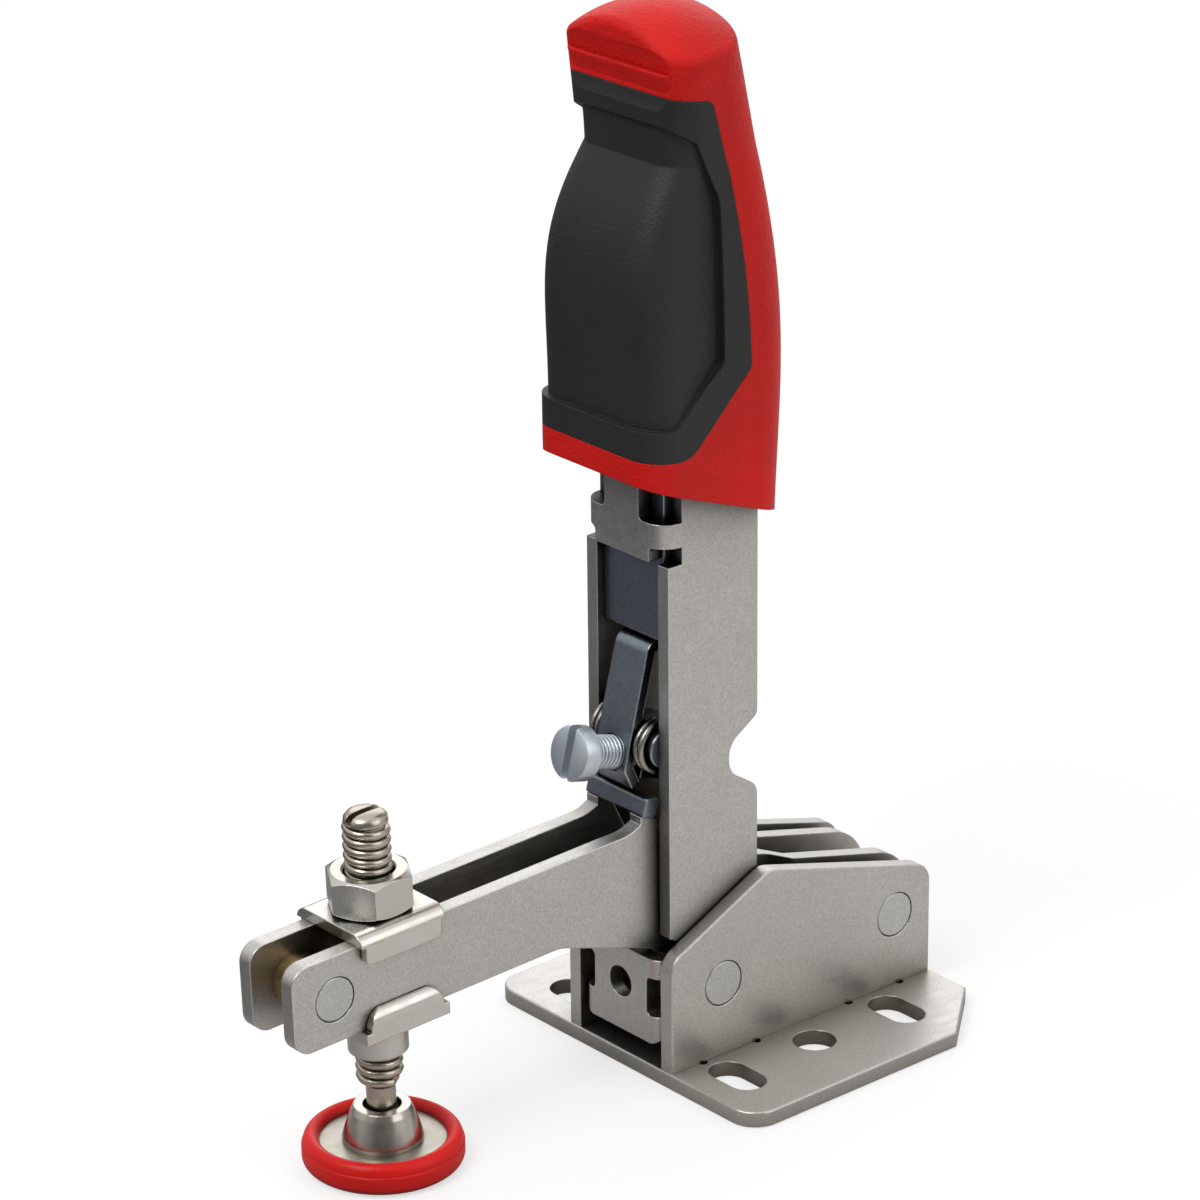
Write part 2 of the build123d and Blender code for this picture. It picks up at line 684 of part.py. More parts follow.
with BuildPart() as handle_channel:
    for side, sign in sides:
        start = layer_start(sign, handle_inner, handle_sheet)
        with BuildSketch(Plane.YZ.offset(start)) as handle_face:
            with BuildLine():
                Polyline(
                    (handle_front, handle_foot_height),
                    (handle_front, neck_height),
                    (bend_end, neck_height),
                    (bend_end, handle_top_height),
                    (handle_rear, handle_top_height),
                    (handle_rear, notch_middle + notch_mouth / 2),
                    (notch_floor_y, notch_middle + notch_floor / 2),
                    (notch_floor_y, notch_middle - notch_floor / 2),
                    (handle_rear, notch_middle - notch_mouth / 2),
                    (handle_rear, crank_pin[1] + 2 * handle_lobe),
                    on_circle(crank_pin, handle_lobe, 0),
                    crank_pin,
                    arm_rivet,
                    on_circle(arm_rivet, handle_lobe, 233),
                    (handle_front + 1.5, handle_foot_height - foot_lift),
                    close=True,
                )
            make_face()
            fillet(nearest(handle_face, (notch_floor_y, notch_middle + notch_floor / 2)), notch_floor_radius)
            fillet(nearest(handle_face, (notch_floor_y, notch_middle - notch_floor / 2)), notch_floor_radius)
            fillet(nearest(handle_face, (handle_rear, notch_middle + notch_mouth / 2)), notch_mouth_radius)
            fillet(nearest(handle_face, (handle_rear, notch_middle - notch_mouth / 2)), 2 * notch_mouth_radius)
        extrude(amount=handle_sheet)
        with BuildSketch(Plane.YZ.offset(start)):
            with Locations(arm_rivet, crank_pin):
                Circle(handle_lobe)
            make_hull()
        extrude(amount=handle_sheet)
    with BuildSketch(Plane.XY.offset(neck_height)) as neck_section:
        with Locations((0, (neck_front + handle_rear) / 2)):
            Rectangle(2 * handle_outer, handle_rear - neck_front)
        fillet(neck_section.vertices().group_by(Axis.Y)[0], neck_bend_radius)
        neck_inner = neck_front + handle_sheet
        with Locations((0, (neck_inner + handle_rear) / 2)):
            Rectangle(2 * handle_inner, handle_rear - neck_inner, mode=Mode.SUBTRACT)
    extrude(amount=handle_top_height - neck_height)
    for sign in (-1, 1):
        relief_width = handle_outer - relief_inner + 1
        relief_middle = neck_height + relief_above_neck + relief_height / 2
        with BuildSketch(Plane.XZ.offset(-bend_end - 0.2)) as relief:
            with Locations((sign * (relief_inner + relief_width / 2), relief_middle)):
                Rectangle(relief_width, relief_height)
            fillet(relief.vertices(), 1)
        extrude(amount=neck_bend_radius + 2, mode=Mode.SUBTRACT)
        corner_cut = handle_outer - 6.6 + 1
        with BuildSketch(Plane.XZ.offset(-bend_end - 0.2)) as corner_relief:
            with Locations((sign * (6.6 + corner_cut / 2), neck_height + 1.0)):
                Rectangle(corner_cut, 3.0)
            fillet(corner_relief.vertices(), 0.8)
        extrude(amount=neck_bend_radius + 2, mode=Mode.SUBTRACT)
    with BuildSketch(Plane.YZ.offset(-handle_outer)):
        with Locations(arm_rivet):
            Circle(small_bore)
        with Locations(crank_pin):
            Circle(small_radius)
    extrude(amount=2 * handle_outer, mode=Mode.SUBTRACT)
handle_channel.part.label = "handle_channel"
export_step(handle_channel.part, "parts/handle_channel.step")

for side, sign in sides:
    length = handle_outer - arm_inner
    with BuildPart() as crank_stub:
        with BuildSketch(Plane.YZ.offset(layer_start(sign, arm_inner, length))):
            with Locations(crank_pin):
                Circle(small_radius)
        extrude(amount=length)
    crank_stub.part.label = f"crank_stub_{side}"
    export_step(crank_stub.part, f"parts/crank_stub_{side}.step")

# ---- clamping-force adjuster ------------------------------------------------------

with BuildPart() as back_plate:
    with BuildSketch(Plane.XY.offset(back_plate_bottom)):
        with Locations((0, neck_front + handle_sheet + running_fit + back_plate_sheet / 2)):
            Rectangle(2 * (handle_inner - inner_side_gap), back_plate_sheet)
    extrude(amount=back_plate_top - back_plate_bottom)
back_plate.part.label = "back_plate"
export_step(back_plate.part, "parts/back_plate.step")

lever_bend_y = handle_front + lever_top_behind_edge


def lever_line(height):
    """Y of the lever's middle plane at a height."""
    return lever_bend_y - (lever_top - height) * tan(lean)


screw_origin = (0, lever_line(screw_height), screw_height)
screw_plane = Plane(origin=screw_origin, x_dir=(1, 0, 0), z_dir=(0, -cos(lean), sin(lean)))
lever_foot = cross_bar_level + cross_bar_height / 2 + lever_sheet / 2 + lever_foot_gap + 0.4
lever_knee = lever_foot + 3.2

with BuildPart() as pressure_lever:
    with BuildSketch(Plane.YZ.offset(-lever_width / 2)):
        with BuildLine():
            FilletPolyline(
                (lever_bend_y + lever_top_return, lever_top + 0.6),
                (lever_bend_y, lever_top),
                (lever_line(lever_knee), lever_knee),
                (lever_line(lever_knee) + lever_foot_length, lever_foot),
                radius=1.4,
            )
        trace(line_width=lever_sheet)
    extrude(amount=lever_width)
    with BuildSketch(screw_plane):
        Circle(screw_diameter / 2 + 0.25)
    extrude(amount=4, both=True, mode=Mode.SUBTRACT)
pressure_lever.part.label = "pressure_lever"
export_step(pressure_lever.part, "parts/pressure_lever.step")

nut_bar_start = lever_sheet / 2 + nut_bar_gap
screw_tail = nut_bar_start + nut_bar_depth + 1.5
screw_neck = screw_head_ahead - screw_head_height

with BuildPart() as adjusting_screw:
    with BuildSketch(screw_plane.offset(-screw_tail)):
        Circle(screw_diameter / 2)
    extrude(amount=screw_tail + screw_neck)
    chamfer(adjusting_screw.faces().sort_by_distance(screw_plane.offset(-screw_tail).origin)[0].edges(), 0.6)
    with BuildSketch(screw_plane.offset(screw_neck)):
        Circle(screw_head_diameter / 2)
    extrude(amount=screw_head_height)
    head_face = adjusting_screw.faces().sort_by_distance(screw_plane.offset(screw_head_ahead).origin)[0]
    fillet(head_face.edges(), 0.6)
    with BuildSketch(screw_plane.offset(screw_head_ahead - screw_slot_depth)):
        Rectangle(screw_slot_width, screw_head_diameter + 1)
    extrude(amount=screw_slot_depth + 1, mode=Mode.SUBTRACT)
adjusting_screw.part.label = "adjusting_screw"
export_step(adjusting_screw.part, "parts/adjusting_screw.step")

trunnion = (handle_front + trunnion_behind_edge, trunnion_height)

with BuildPart() as nut_bar:
    with BuildSketch(screw_plane.offset(-nut_bar_start - nut_bar_depth)) as nut_bar_face:
        with Locations((0, (nut_bar_above - nut_bar_below) / 2)):
            Rectangle(nut_bar_width, nut_bar_above + nut_bar_below)
        fillet(nut_bar_face.vertices(), 0.6)
    extrude(amount=nut_bar_depth)
    with BuildSketch(Plane.YZ.offset(-handle_inner + running_fit)):
        with Locations(trunnion):
            Circle(trunnion_diameter / 2)
    extrude(amount=2 * (handle_inner - running_fit))
    with BuildSketch(screw_plane.offset(-screw_tail - 1)):
        Circle(screw_diameter / 2 + running_fit)
    extrude(amount=screw_tail + 5, mode=Mode.SUBTRACT)
    with BuildSketch(Plane.YZ.offset(-lever_width / 2 - 0.1)):
        with BuildLine():
            Polyline(
                (lever_line(45) - 8, 45),
                (lever_line(45) + 1.4, 45),
                (lever_line(70) + 1.4, 70),
                (lever_line(70) - 8, 70),
                close=True,
            )
        make_face()
    extrude(amount=lever_width + 0.2, mode=Mode.SUBTRACT)
nut_bar.part.label = "nut_bar"
export_step(nut_bar.part, "parts/nut_bar.step")

coil_radius = trunnion_diameter / 2 + 0.4 + spring_wire / 2
coil_room = handle_inner - lever_width / 2
coil_length = spring_pitch * spring_turns

for side, sign in sides:
    coil_start = sign * (lever_width / 2 + (coil_room - coil_length) / 2)
    with BuildPart() as return_spring:
        with BuildLine() as coil:
            Helix(
                pitch=spring_pitch,
                height=coil_length,
                radius=coil_radius,
                center=(coil_start, *trunnion),
                direction=(sign, 0, 0),
            )
        with BuildSketch(Plane(origin=coil.line @ 0, z_dir=coil.line % 0)):
            Circle(spring_wire / 2)
        sweep(path=coil.line, is_frenet=True)
    return_spring.part.label = f"return_spring_{side}"
    export_step(return_spring.part, f"parts/return_spring_{side}.step")

# ---- carriage on the arm -----------------------------------------------------------

saddle_inner = arm_outer + saddle_side_gap
saddle_outer = saddle_inner + saddle_sheet_side
seat = half_arm + running_fit

for name, up, skirt, skirt_setback, corner in (
    ("upper_saddle", 1, saddle_skirt, upper_skirt_setback, upper_skirt_corner),
    ("lower_saddle", -1, lower_skirt, lower_skirt_setback, lower_skirt_corner),
):
    along = Plane(
        origin=arm_section.origin,
        x_dir=(1, 0, 0),
        z_dir=arm_section.y_dir,
    )
    side_view = Plane(origin=arm_section.origin, x_dir=arm_section.y_dir, z_dir=(1, 0, 0))
    crown = up * (seat + saddle_sheet)
    free_edge = up * (seat - skirt)
    level = up * seat
    turn = along.y_dir.dot(arm_section.z_dir)
    with BuildPart() as saddle:
        with BuildSketch(along) as saddle_section:
            with Locations((0, turn * (crown + free_edge) / 2)):
                Rectangle(2 * saddle_outer, saddle_sheet + skirt)
            fillet(saddle_section.vertices().sort_by_distance(arm_section.from_local_coords((0, 0, 4 * crown)))[:2], saddle_bend_radius)
            with Locations((0, turn * (level + free_edge - up) / 2)):
                Rectangle(2 * saddle_inner, skirt + 1, mode=Mode.SUBTRACT)
        extrude(amount=saddle_length / 2, both=True)
        with BuildSketch(side_view) as saddle_side:
            with BuildLine():
                Polyline(
                    (-saddle_length / 2, crown),
                    (saddle_length / 2, crown),
                    (saddle_length / 2, level),
                    (saddle_length / 2 - skirt_setback, level),
                    (saddle_length / 2 - skirt_setback, free_edge),
                    (skirt_setback - saddle_length / 2, free_edge),
                    (skirt_setback - saddle_length / 2, level),
                    (-saddle_length / 2, level),
                    close=True,
                )
            make_face()
            free_corners = saddle_side.vertices().filter_by(lambda point: abs(point.Y - free_edge) < 0.01)
            fillet(free_corners, corner)
        extrude(amount=saddle_outer, both=True, mode=Mode.INTERSECT)
        with BuildSketch(arm_section.offset(up * (seat - 1))):
            Circle(spindle_radius + saddle_hole_clearance)
        extrude(amount=up * (saddle_sheet + 2), mode=Mode.SUBTRACT)
    saddle.part.label = name
    export_step(saddle.part, f"parts/{name}.step")

saddle_top = seat + saddle_sheet

with BuildPart() as lower_sleeve:
    sleeve_length = (spindle_arm_height - sleeve_bottom) / cos(droop) - saddle_top
    with BuildSketch(arm_section.offset(-saddle_top)):
        Circle(sleeve_diameter / 2)
        Circle(spindle_radius + running_fit, mode=Mode.SUBTRACT)
    extrude(amount=-sleeve_length)
    low_rim = lower_sleeve.faces().sort_by(Axis.Z)[0].outer_wire().edges()
    chamfer(low_rim, sleeve_chamfer)
lower_sleeve.part.label = "lower_sleeve"
export_step(lower_sleeve.part, "parts/lower_sleeve.step")

with BuildPart() as hex_nut:
    with BuildSketch(arm_section.offset(saddle_top + running_fit)):
        RegularPolygon(nut_width / 2, 6, major_radius=False, rotation=30)
    extrude(amount=nut_height)
    with BuildSketch(arm_section.offset(saddle_top + running_fit)):
        Circle(nut_width / sqrt(3) - 0.15)
    extrude(amount=nut_height, mode=Mode.INTERSECT)
    with BuildSketch(arm_section.offset(saddle_top + running_fit)):
        Circle(nut_width / 2 + 1.6)
    extrude(amount=nut_height, taper=12, mode=Mode.INTERSECT)
    with BuildSketch(arm_section.offset(saddle_top)):
        Circle(spindle_radius + running_fit)
    extrude(amount=nut_height + 1, mode=Mode.SUBTRACT)
hex_nut.part.label = "hex_nut"
export_step(hex_nut.part, "parts/hex_nut.step")

ball_drop = (spindle_arm_height - ball_height) / cos(droop)
ball_centre = (0, spindle_y + ball_drop * sin(droop), ball_height)
thread_drop = (spindle_arm_height - thread_bottom) / cos(droop)
rod_rise = (spindle_top - spindle_arm_height) / cos(droop)

with BuildPart() as spindle:
    with BuildSketch(arm_section.offset(-thread_drop)):
        Circle(spindle_radius)
    extrude(amount=thread_drop + rod_rise)
    fillet(spindle.faces().sort_by(Axis.Z)[-1].edges(), 1.8)
    with BuildSketch(arm_section.offset(rod_rise - spindle_slot_depth)):
        Rectangle(spindle_slot_width, spindle_diameter + 2)
    extrude(amount=spindle_slot_depth + 1, mode=Mode.SUBTRACT)
    chamfer(spindle.faces().sort_by(Axis.Z)[0].edges(), 0.8)
    with BuildSketch(arm_section.offset(-ball_drop)):
        Circle(neck_diameter / 2)
    extrude(amount=ball_drop - thread_drop)
    with Locations(ball_centre):
        Sphere(ball_diameter / 2)
spindle.part.label = "spindle"
export_step(spindle.part, "parts/spindle.step")

# ---- swivel pad -------------------------------------------------------------------

pad_plane = Plane(origin=(0, ball_centre[1], 0), x_dir=(1, 0, 0), z_dir=(0, -1, 0))
socket_radius = ball_diameter / 2 + socket_clearance
cup_mouth = neck_diameter / 2 + mouth_clearance
pad_axis = Axis((0, ball_centre[1], 0), (0, 0, 1))

with BuildPart() as swivel_cup:
    with BuildSketch(pad_plane):
        with BuildLine():
            cup_top_radius = cup_top_diameter / 2
            cup_foot_radius = cup_foot_diameter / 2
            Polyline(
                (cup_foot_radius, cup_bottom + 0.8),
                (cup_foot_radius, cup_bottom),
                (0, cup_bottom),
                (0, cup_top),
                (cup_top_radius, cup_top),
                (cup_top_radius + 0.5, cup_top - 1),
            )
            Spline(
                (cup_top_radius + 0.5, cup_top - 1),
                (cup_top_radius + 1.5, cup_bottom + 2.4),
                (cup_foot_radius, cup_bottom + 0.8),
            )
        make_face()
    revolve(axis=pad_axis)
    with Locations(ball_centre):
        Sphere(socket_radius, mode=Mode.SUBTRACT)
    mouth_start = ball_height + sqrt(socket_radius ** 2 - cup_mouth ** 2)
    with BuildSketch(Plane.XY.offset(mouth_start)):
        with Locations((0, ball_centre[1])):
            Circle(cup_mouth)
    extrude(amount=cup_top, mode=Mode.SUBTRACT)
swivel_cup.part.label = "swivel_cup"
export_step(swivel_cup.part, "parts/swivel_cup.step")

disc_bottom = cup_bottom - disc_sheet
disc_radius = disc_diameter / 2
cap_radius = cap_diameter / 2

with BuildPart() as pad_disc:
    with BuildSketch(Plane.XY.offset(disc_bottom)):
        with Locations((0, ball_centre[1])):
            Circle(disc_radius)
    extrude(amount=disc_sheet)
pad_disc.part.label = "pad_disc"
export_step(pad_disc.part, "parts/pad_disc.step")

with BuildPart() as pad_cap:
    with BuildSketch(pad_plane):
        with BuildLine():
            Polyline(
                (0, disc_bottom),
                (0, 0),
                (cap_radius - 1.6, 0),
            )
            ThreePointArc(
                (cap_radius - 1.6, 0),
                (cap_radius - 0.45, 0.5),
                (cap_radius, 1.7),
            )
            Polyline(
                (cap_radius, 1.7),
                (cap_radius, cap_seam),
                (cap_radius - cap_seam_depth, cap_seam + 0.15),
            )
            ThreePointArc(
                (cap_radius - cap_seam_depth, cap_seam + 0.15),
                (cap_radius - 0.6, cap_height - 0.6),
                (cap_radius - cap_lip / 2, cap_height),
            )
            ThreePointArc(
                (cap_radius - cap_lip / 2, cap_height),
                (cap_radius - cap_lip + 0.35, cap_height - 0.6),
                (cap_radius - cap_lip, cup_bottom + 0.2),
            )
            Polyline(
                (cap_radius - cap_lip, cup_bottom + 0.2),
                (cap_radius - cap_lip, cup_bottom),
                (disc_radius, cup_bottom),
                (disc_radius, disc_bottom),
                (0, disc_bottom),
            )
        make_face()
    revolve(axis=pad_axis)
pad_cap.part.label = "pad_cap"
export_step(pad_cap.part, "parts/pad_cap.step")

# ---- grip -------------------------------------------------------------------------

grip_kink = grip_top_height - grip_kink_below_top

# height, wall beside the channel, cover ahead of its web, cover behind its rear edges
grip_sections = (
    (grip_kink - 74, grip_side_wall + 0.6, 5.3, 2.8),
    (grip_kink - 60, grip_side_wall + 0.45, 5.8, 3.6),
    (grip_kink - 48, grip_side_wall + 0.25, 6.5, 4.5),
    (grip_kink - 32, grip_side_wall + 0.05, 6.9, 5.1),
    (grip_kink - 17, grip_side_wall - 0.35, 6.8, 4.0),
    (grip_kink - 10, grip_side_wall - 0.75, 5.1, 3.0),
    (grip_kink, grip_side_wall - 1.35, -0.1, 1.0),
)
crown_sections = (
    (grip_kink, grip_side_wall - 1.35, -0.1, 1.0),
    (grip_top_height - 16, grip_side_wall - 0.85, 0.1, -1.2),
    (grip_top_height - 6, grip_side_wall - 0.15, 0.7, -4.0),
    (grip_top_height + 2, grip_side_wall + 0.05, 0.9, -6.2),
)
grip_reach = 60.0
web = neck_front
base_run = tan(radians(grip_base_slope)) * grip_reach
grip_bottom_middle = (web + handle_depth / 2, grip_base_height - tan(radians(grip_base_slope)) * 11.25)

with BuildPart() as grip_form:
    for sections in (grip_sections, crown_sections):
        for height, side_wall, ahead, behind in sections:
            with BuildSketch(Plane.XY.offset(height)) as grip_section:
                with Locations((0, (web - ahead + handle_rear + behind) / 2)):
                    Rectangle(2 * (handle_outer + side_wall), handle_rear + behind - web + ahead)
                fillet(grip_section.vertices().sort_by(Axis.Y)[:2], grip_front_radius)
                fillet(grip_section.vertices().sort_by(Axis.Y)[-2:], grip_rear_radius)
        loft()
    with BuildSketch(Plane.YZ):
        with BuildLine():
            Polyline(
                (grip_bottom_middle[0] - grip_reach, grip_bottom_middle[1] + base_run),
                (grip_bottom_middle[0] + grip_reach, grip_bottom_middle[1] - base_run),
                (grip_bottom_middle[0] + grip_reach, grip_top_height + 20),
                (grip_bottom_middle[0] - grip_reach, grip_top_height + 20),
                close=True,
            )
        make_face()
    extrude(amount=grip_reach, both=True, mode=Mode.INTERSECT)
    crown_level = grip_top_height - grip_crown_radius
    with BuildSketch(Plane(origin=(0, web + crown_middle, 0), x_dir=(1, 0, 0), z_dir=(0, -1, 0))):
        with BuildLine():
            Polyline(
                (grip_crown_radius, crown_level),
                (grip_reach, crown_level),
                (grip_reach, grip_top_height + 20),
                (0, grip_top_height + 20),
                (0, grip_top_height),
            )
            CenterArc((0, crown_level), grip_crown_radius, 0, 90)
        make_face()
    revolve(axis=Axis((0, web + crown_middle, 0), (0, 0, 1)), mode=Mode.SUBTRACT)
    fillet(grip_form.faces().sort_by(Axis.Z)[-1].edges(), crown_round)
    dish_middle = (web - dish_radius + dish_depth, grip_top_height - dish_below_top)
    with BuildSketch(Plane.YZ.offset(-dish_half_width)) as dish:
        with Locations(dish_middle):
            Circle(dish_radius)
    extrude(amount=2 * dish_half_width, mode=Mode.SUBTRACT)

core_half = handle_outer + grip_core_side
core_front = web - grip_core_front
core_top = handle_top_height + grip_core_roof
upper_core_top = grip_top_height - grip_core_below_top

with BuildPart() as recess_form:
    for sections in (grip_sections, crown_sections):
        for height, side_wall, ahead, behind in sections:
            slope = scoop_depth / (scoop_rear + ahead)
            half_front = handle_outer + side_wall
            half_rear = half_front - slope * (handle_depth + ahead + behind)
            with BuildSketch(Plane.XY.offset(height)) as recess_section:
                with BuildLine():
                    Polyline(
                        (-half_front, web - ahead + pad_recess),
                        (half_front, web - ahead + pad_recess),
                        (half_rear, handle_rear + behind),
                        (-half_rear, handle_rear + behind),
                        close=True,
                    )
                make_face()
                fillet(recess_section.vertices().sort_by(Axis.Y)[:2], grip_front_radius)
        loft()

with BuildPart() as grip_recess:
    add(grip_form.part)
    with BuildSketch(Plane.YZ) as recess_face:
        with BuildLine():
            Polyline(
                (web - grip_reach, lip_height),
                (web - 1.0, lip_height - 1.2),
                (web + 5.4, lip_height + 4.8),
                (web + scoop_rear, lip_height + 7.6),
                (web + scoop_rear, lip_height + 34.6),
                (web + 4.4, lip_height + 44.7),
                (web - 1.0, lip_height + 48.0),
                (web - grip_reach, lip_height + 48.0),
                close=True,
            )
        make_face()
        fillet(nearest(recess_face, (web + scoop_rear, lip_height + 7.6)), 2)
        fillet(nearest(recess_face, (web + scoop_rear, lip_height + 34.6)), 6)
    extrude(amount=grip_reach, both=True, mode=Mode.INTERSECT)
    add(recess_form.part, mode=Mode.SUBTRACT)

window_top = grip_window_high
window_rear = web + grip_window_rear

with BuildPart() as window_block:
    with BuildSketch(Plane.YZ) as window_face:
        with BuildLine():
            Polyline(
                (web + 7.1, window_top - 1.2),
                (web - grip_reach, window_top + 6.6),
                (web - grip_reach, grip_window_low + 3.3),
                (web + 1.7, grip_window_low - 0.8),
                (window_rear, grip_window_low + 11.8),
            )
            ThreePointArc(
                (window_rear, grip_window_low + 11.8),
                (window_rear - 1.1, grip_window_low + 28.6),
                (web + 11.1, grip_window_low + 45.3),
            )
            Line((web + 11.1, grip_window_low + 45.3), (web + 7.1, window_top - 1.2))
        make_face()
        fillet(nearest(window_face, (web + 1.7, grip_window_low - 0.8)), 5)
        fillet(nearest(window_face, (window_rear, grip_window_low + 11.8)), 1.5)
        fillet(nearest(window_face, (web + 7.1, window_top - 1.2)), 2.5)
    extrude(amount=grip_reach, both=True)
    with BuildSketch(Plane.XY.offset(grip_base_height - 30)) as core_section:
        with Locations((0, core_front + grip_reach / 2)):
            Rectangle(2 * core_half, grip_reach)
        fillet(core_section.vertices(), grip_core_corner)
    extrude(amount=core_top - grip_base_height + 30, mode=Mode.SUBTRACT)
    with BuildSketch(Plane.XY.offset(core_top)) as neck_core_section:
        with Locations((0, web + grip_core_neck + grip_reach / 2)):
            Rectangle(2 * (core_half - grip_core_neck), grip_reach)
        fillet(neck_core_section.vertices(), grip_core_corner)
    extrude(amount=upper_core_top - core_top, mode=Mode.SUBTRACT)

with BuildPart() as grip_shell:
    add(grip_form.part)
    add(window_block.part, mode=Mode.SUBTRACT)
    with BuildSketch(Plane.XY.offset(grip_base_height - 30)):
        pocket_front = web - running_fit
        pocket_rear = handle_rear + running_fit
        with Locations((0, (pocket_front + pocket_rear) / 2)):
            Rectangle(2 * (handle_outer + running_fit), pocket_rear - pocket_front)
    extrude(amount=handle_top_height - grip_base_height + 30, mode=Mode.SUBTRACT)
    tongue_front = web + handle_sheet + back_plate_sheet + 3 * running_fit
    tongue_rear = handle_rear + grip_rear_skin
    tongue_half = handle_inner - running_fit
    with BuildSketch(Plane.XY.offset(grip_tongue_bottom)):
        with Locations((0, (tongue_front + tongue_rear) / 2)):
            Rectangle(2 * tongue_half, tongue_rear - tongue_front)
    extrude(amount=handle_top_height - grip_tongue_bottom)
grip_shell.part.label = "grip_shell"
export_step(grip_shell.part, "parts/grip_shell.step")

with BuildPart() as grip_inlay:
    add(grip_form.part)
    add(window_block.part, mode=Mode.INTERSECT)
    add(grip_recess.part, mode=Mode.SUBTRACT)
grip_inlay.part.label = "grip_inlay"
export_step(grip_inlay.part, "parts/grip_inlay.step")
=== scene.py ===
"""Finishes, threads and studio for a hold-down toggle clamp, laid out as an add-on."""

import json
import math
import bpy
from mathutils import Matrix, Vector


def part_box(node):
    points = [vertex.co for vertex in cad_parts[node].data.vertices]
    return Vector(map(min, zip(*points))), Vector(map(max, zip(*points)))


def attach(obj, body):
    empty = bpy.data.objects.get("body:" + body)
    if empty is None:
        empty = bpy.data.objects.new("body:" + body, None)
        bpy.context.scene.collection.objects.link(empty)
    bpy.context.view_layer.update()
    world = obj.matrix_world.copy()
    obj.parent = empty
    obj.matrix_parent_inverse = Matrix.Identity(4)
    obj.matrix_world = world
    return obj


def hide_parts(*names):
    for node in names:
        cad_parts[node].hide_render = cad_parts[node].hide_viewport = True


bl_info = {
    "name": "Toggle clamp finishes",
    "version": (1, 0, 0),
    "blender": (4, 5, 0),
    "location": "3D View > Sidebar > Clamp",
    "description": "Plating, moulded grip, threads and studio for a toggle clamp",
    "category": "Object",
}

import bmesh
import bpy
from mathutils import Matrix, Vector
from mathutils.bvhtree import BVHTree

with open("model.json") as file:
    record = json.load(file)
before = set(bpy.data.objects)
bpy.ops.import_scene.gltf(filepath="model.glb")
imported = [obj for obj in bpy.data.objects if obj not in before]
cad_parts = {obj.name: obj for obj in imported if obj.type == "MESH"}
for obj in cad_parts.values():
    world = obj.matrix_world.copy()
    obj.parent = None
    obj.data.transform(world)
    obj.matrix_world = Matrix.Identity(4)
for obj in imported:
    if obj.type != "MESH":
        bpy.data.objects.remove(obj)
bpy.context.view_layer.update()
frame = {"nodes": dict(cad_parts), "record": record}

SHEET_NODES = (
    "base_plate", "bracket_left", "bracket_right", "arm_plate_left", "arm_plate_right",
    "arm_yoke", "link_plate_left", "link_plate_right",
)
RIVET_NODES = (
    "front_pin", "rear_pin", "rear_spacer_left", "rear_spacer_right", "nose_rivet",
    "arm_rivet_left", "arm_rivet_right", "crank_stub_left", "crank_stub_right",
    "link_front_pin", "link_front_spacer", "link_rear_spacer",
)
# The dark plating on these pieces is bluish zinc, darkened partly as painted shade; the nut bar takes it as
# painted shade.
SLATE_NODES = ("cross_bar", "back_plate", "pressure_lever", "nut_bar")
# The spring wire's darker tint is partly painted shade.
SPRING_NODES = ("return_spring_left", "return_spring_right")
BRIGHT_NODES = ("upper_saddle", "lower_saddle", "lower_sleeve")

# The locked arm droops at its nose, so the top of the spindle leans forward.
SPINDLE_LEAN = math.radians(1.7)
# The adjusting screw points forward, and its head a little up.
SCREW_RISE = math.radians(14.7)

# A thread's ridge is a round wire: its radius as a share of the pitch.
RIDGE_SHARE = 0.47
POINTS_PER_TURN = 40
RIDGE_SIDES = 8

# Corners of turned outlines, as (outward, upward) from where the thread starts and from the spindle's tip.
NECK_SHOULDER = ((0, -0.0009), (0.0004, -0.0004))
SPINDLE_TIP = ((0, -0.0022), (0.0005, -0.0018), (0.0004, -0.0010), (-0.0001, -0.0004), (-0.0009, -0.0001))

# Outline of the thumb ledge as (outward, upward), in units of how far it stands out.
LEDGE_OUTLINE = (
    (-0.8, 0.1), (0.55, 0.1), (0.85, 0.0), (1.0, -0.25), (1.0, -0.6), (0.8, -1.2),
    (0.55, -1.9), (0.3, -2.6), (0.0, -3.4), (-0.8, -3.8), (-1.0, -1.8),
)

CAMERA_PLACE = (0.561101, -0.505816, 0.385542)
CAMERA_TURN = math.radians(49.8052)
CAMERA_TILT = math.radians(22.0660)
CAMERA_ROLL = math.radians(-0.6719)
CAMERA_SHIFT = (0.00723, -0.00775)

WHITE = (1, 1, 1)


# ---- sizes and colours ---------------------------------------------------------------


def colour(name, description, value):
    return bpy.props.FloatVectorProperty(
        name=name, description=description, default=value, subtype="COLOR", size=3, min=0, max=1
    )


def length(name, description, value):
    return bpy.props.FloatProperty(
        name=name, description=description, default=value, subtype="DISTANCE", unit="LENGTH", min=0
    )


def power(name, description, value):
    return bpy.props.FloatProperty(name=name, description=description, default=value, unit="POWER", min=0)


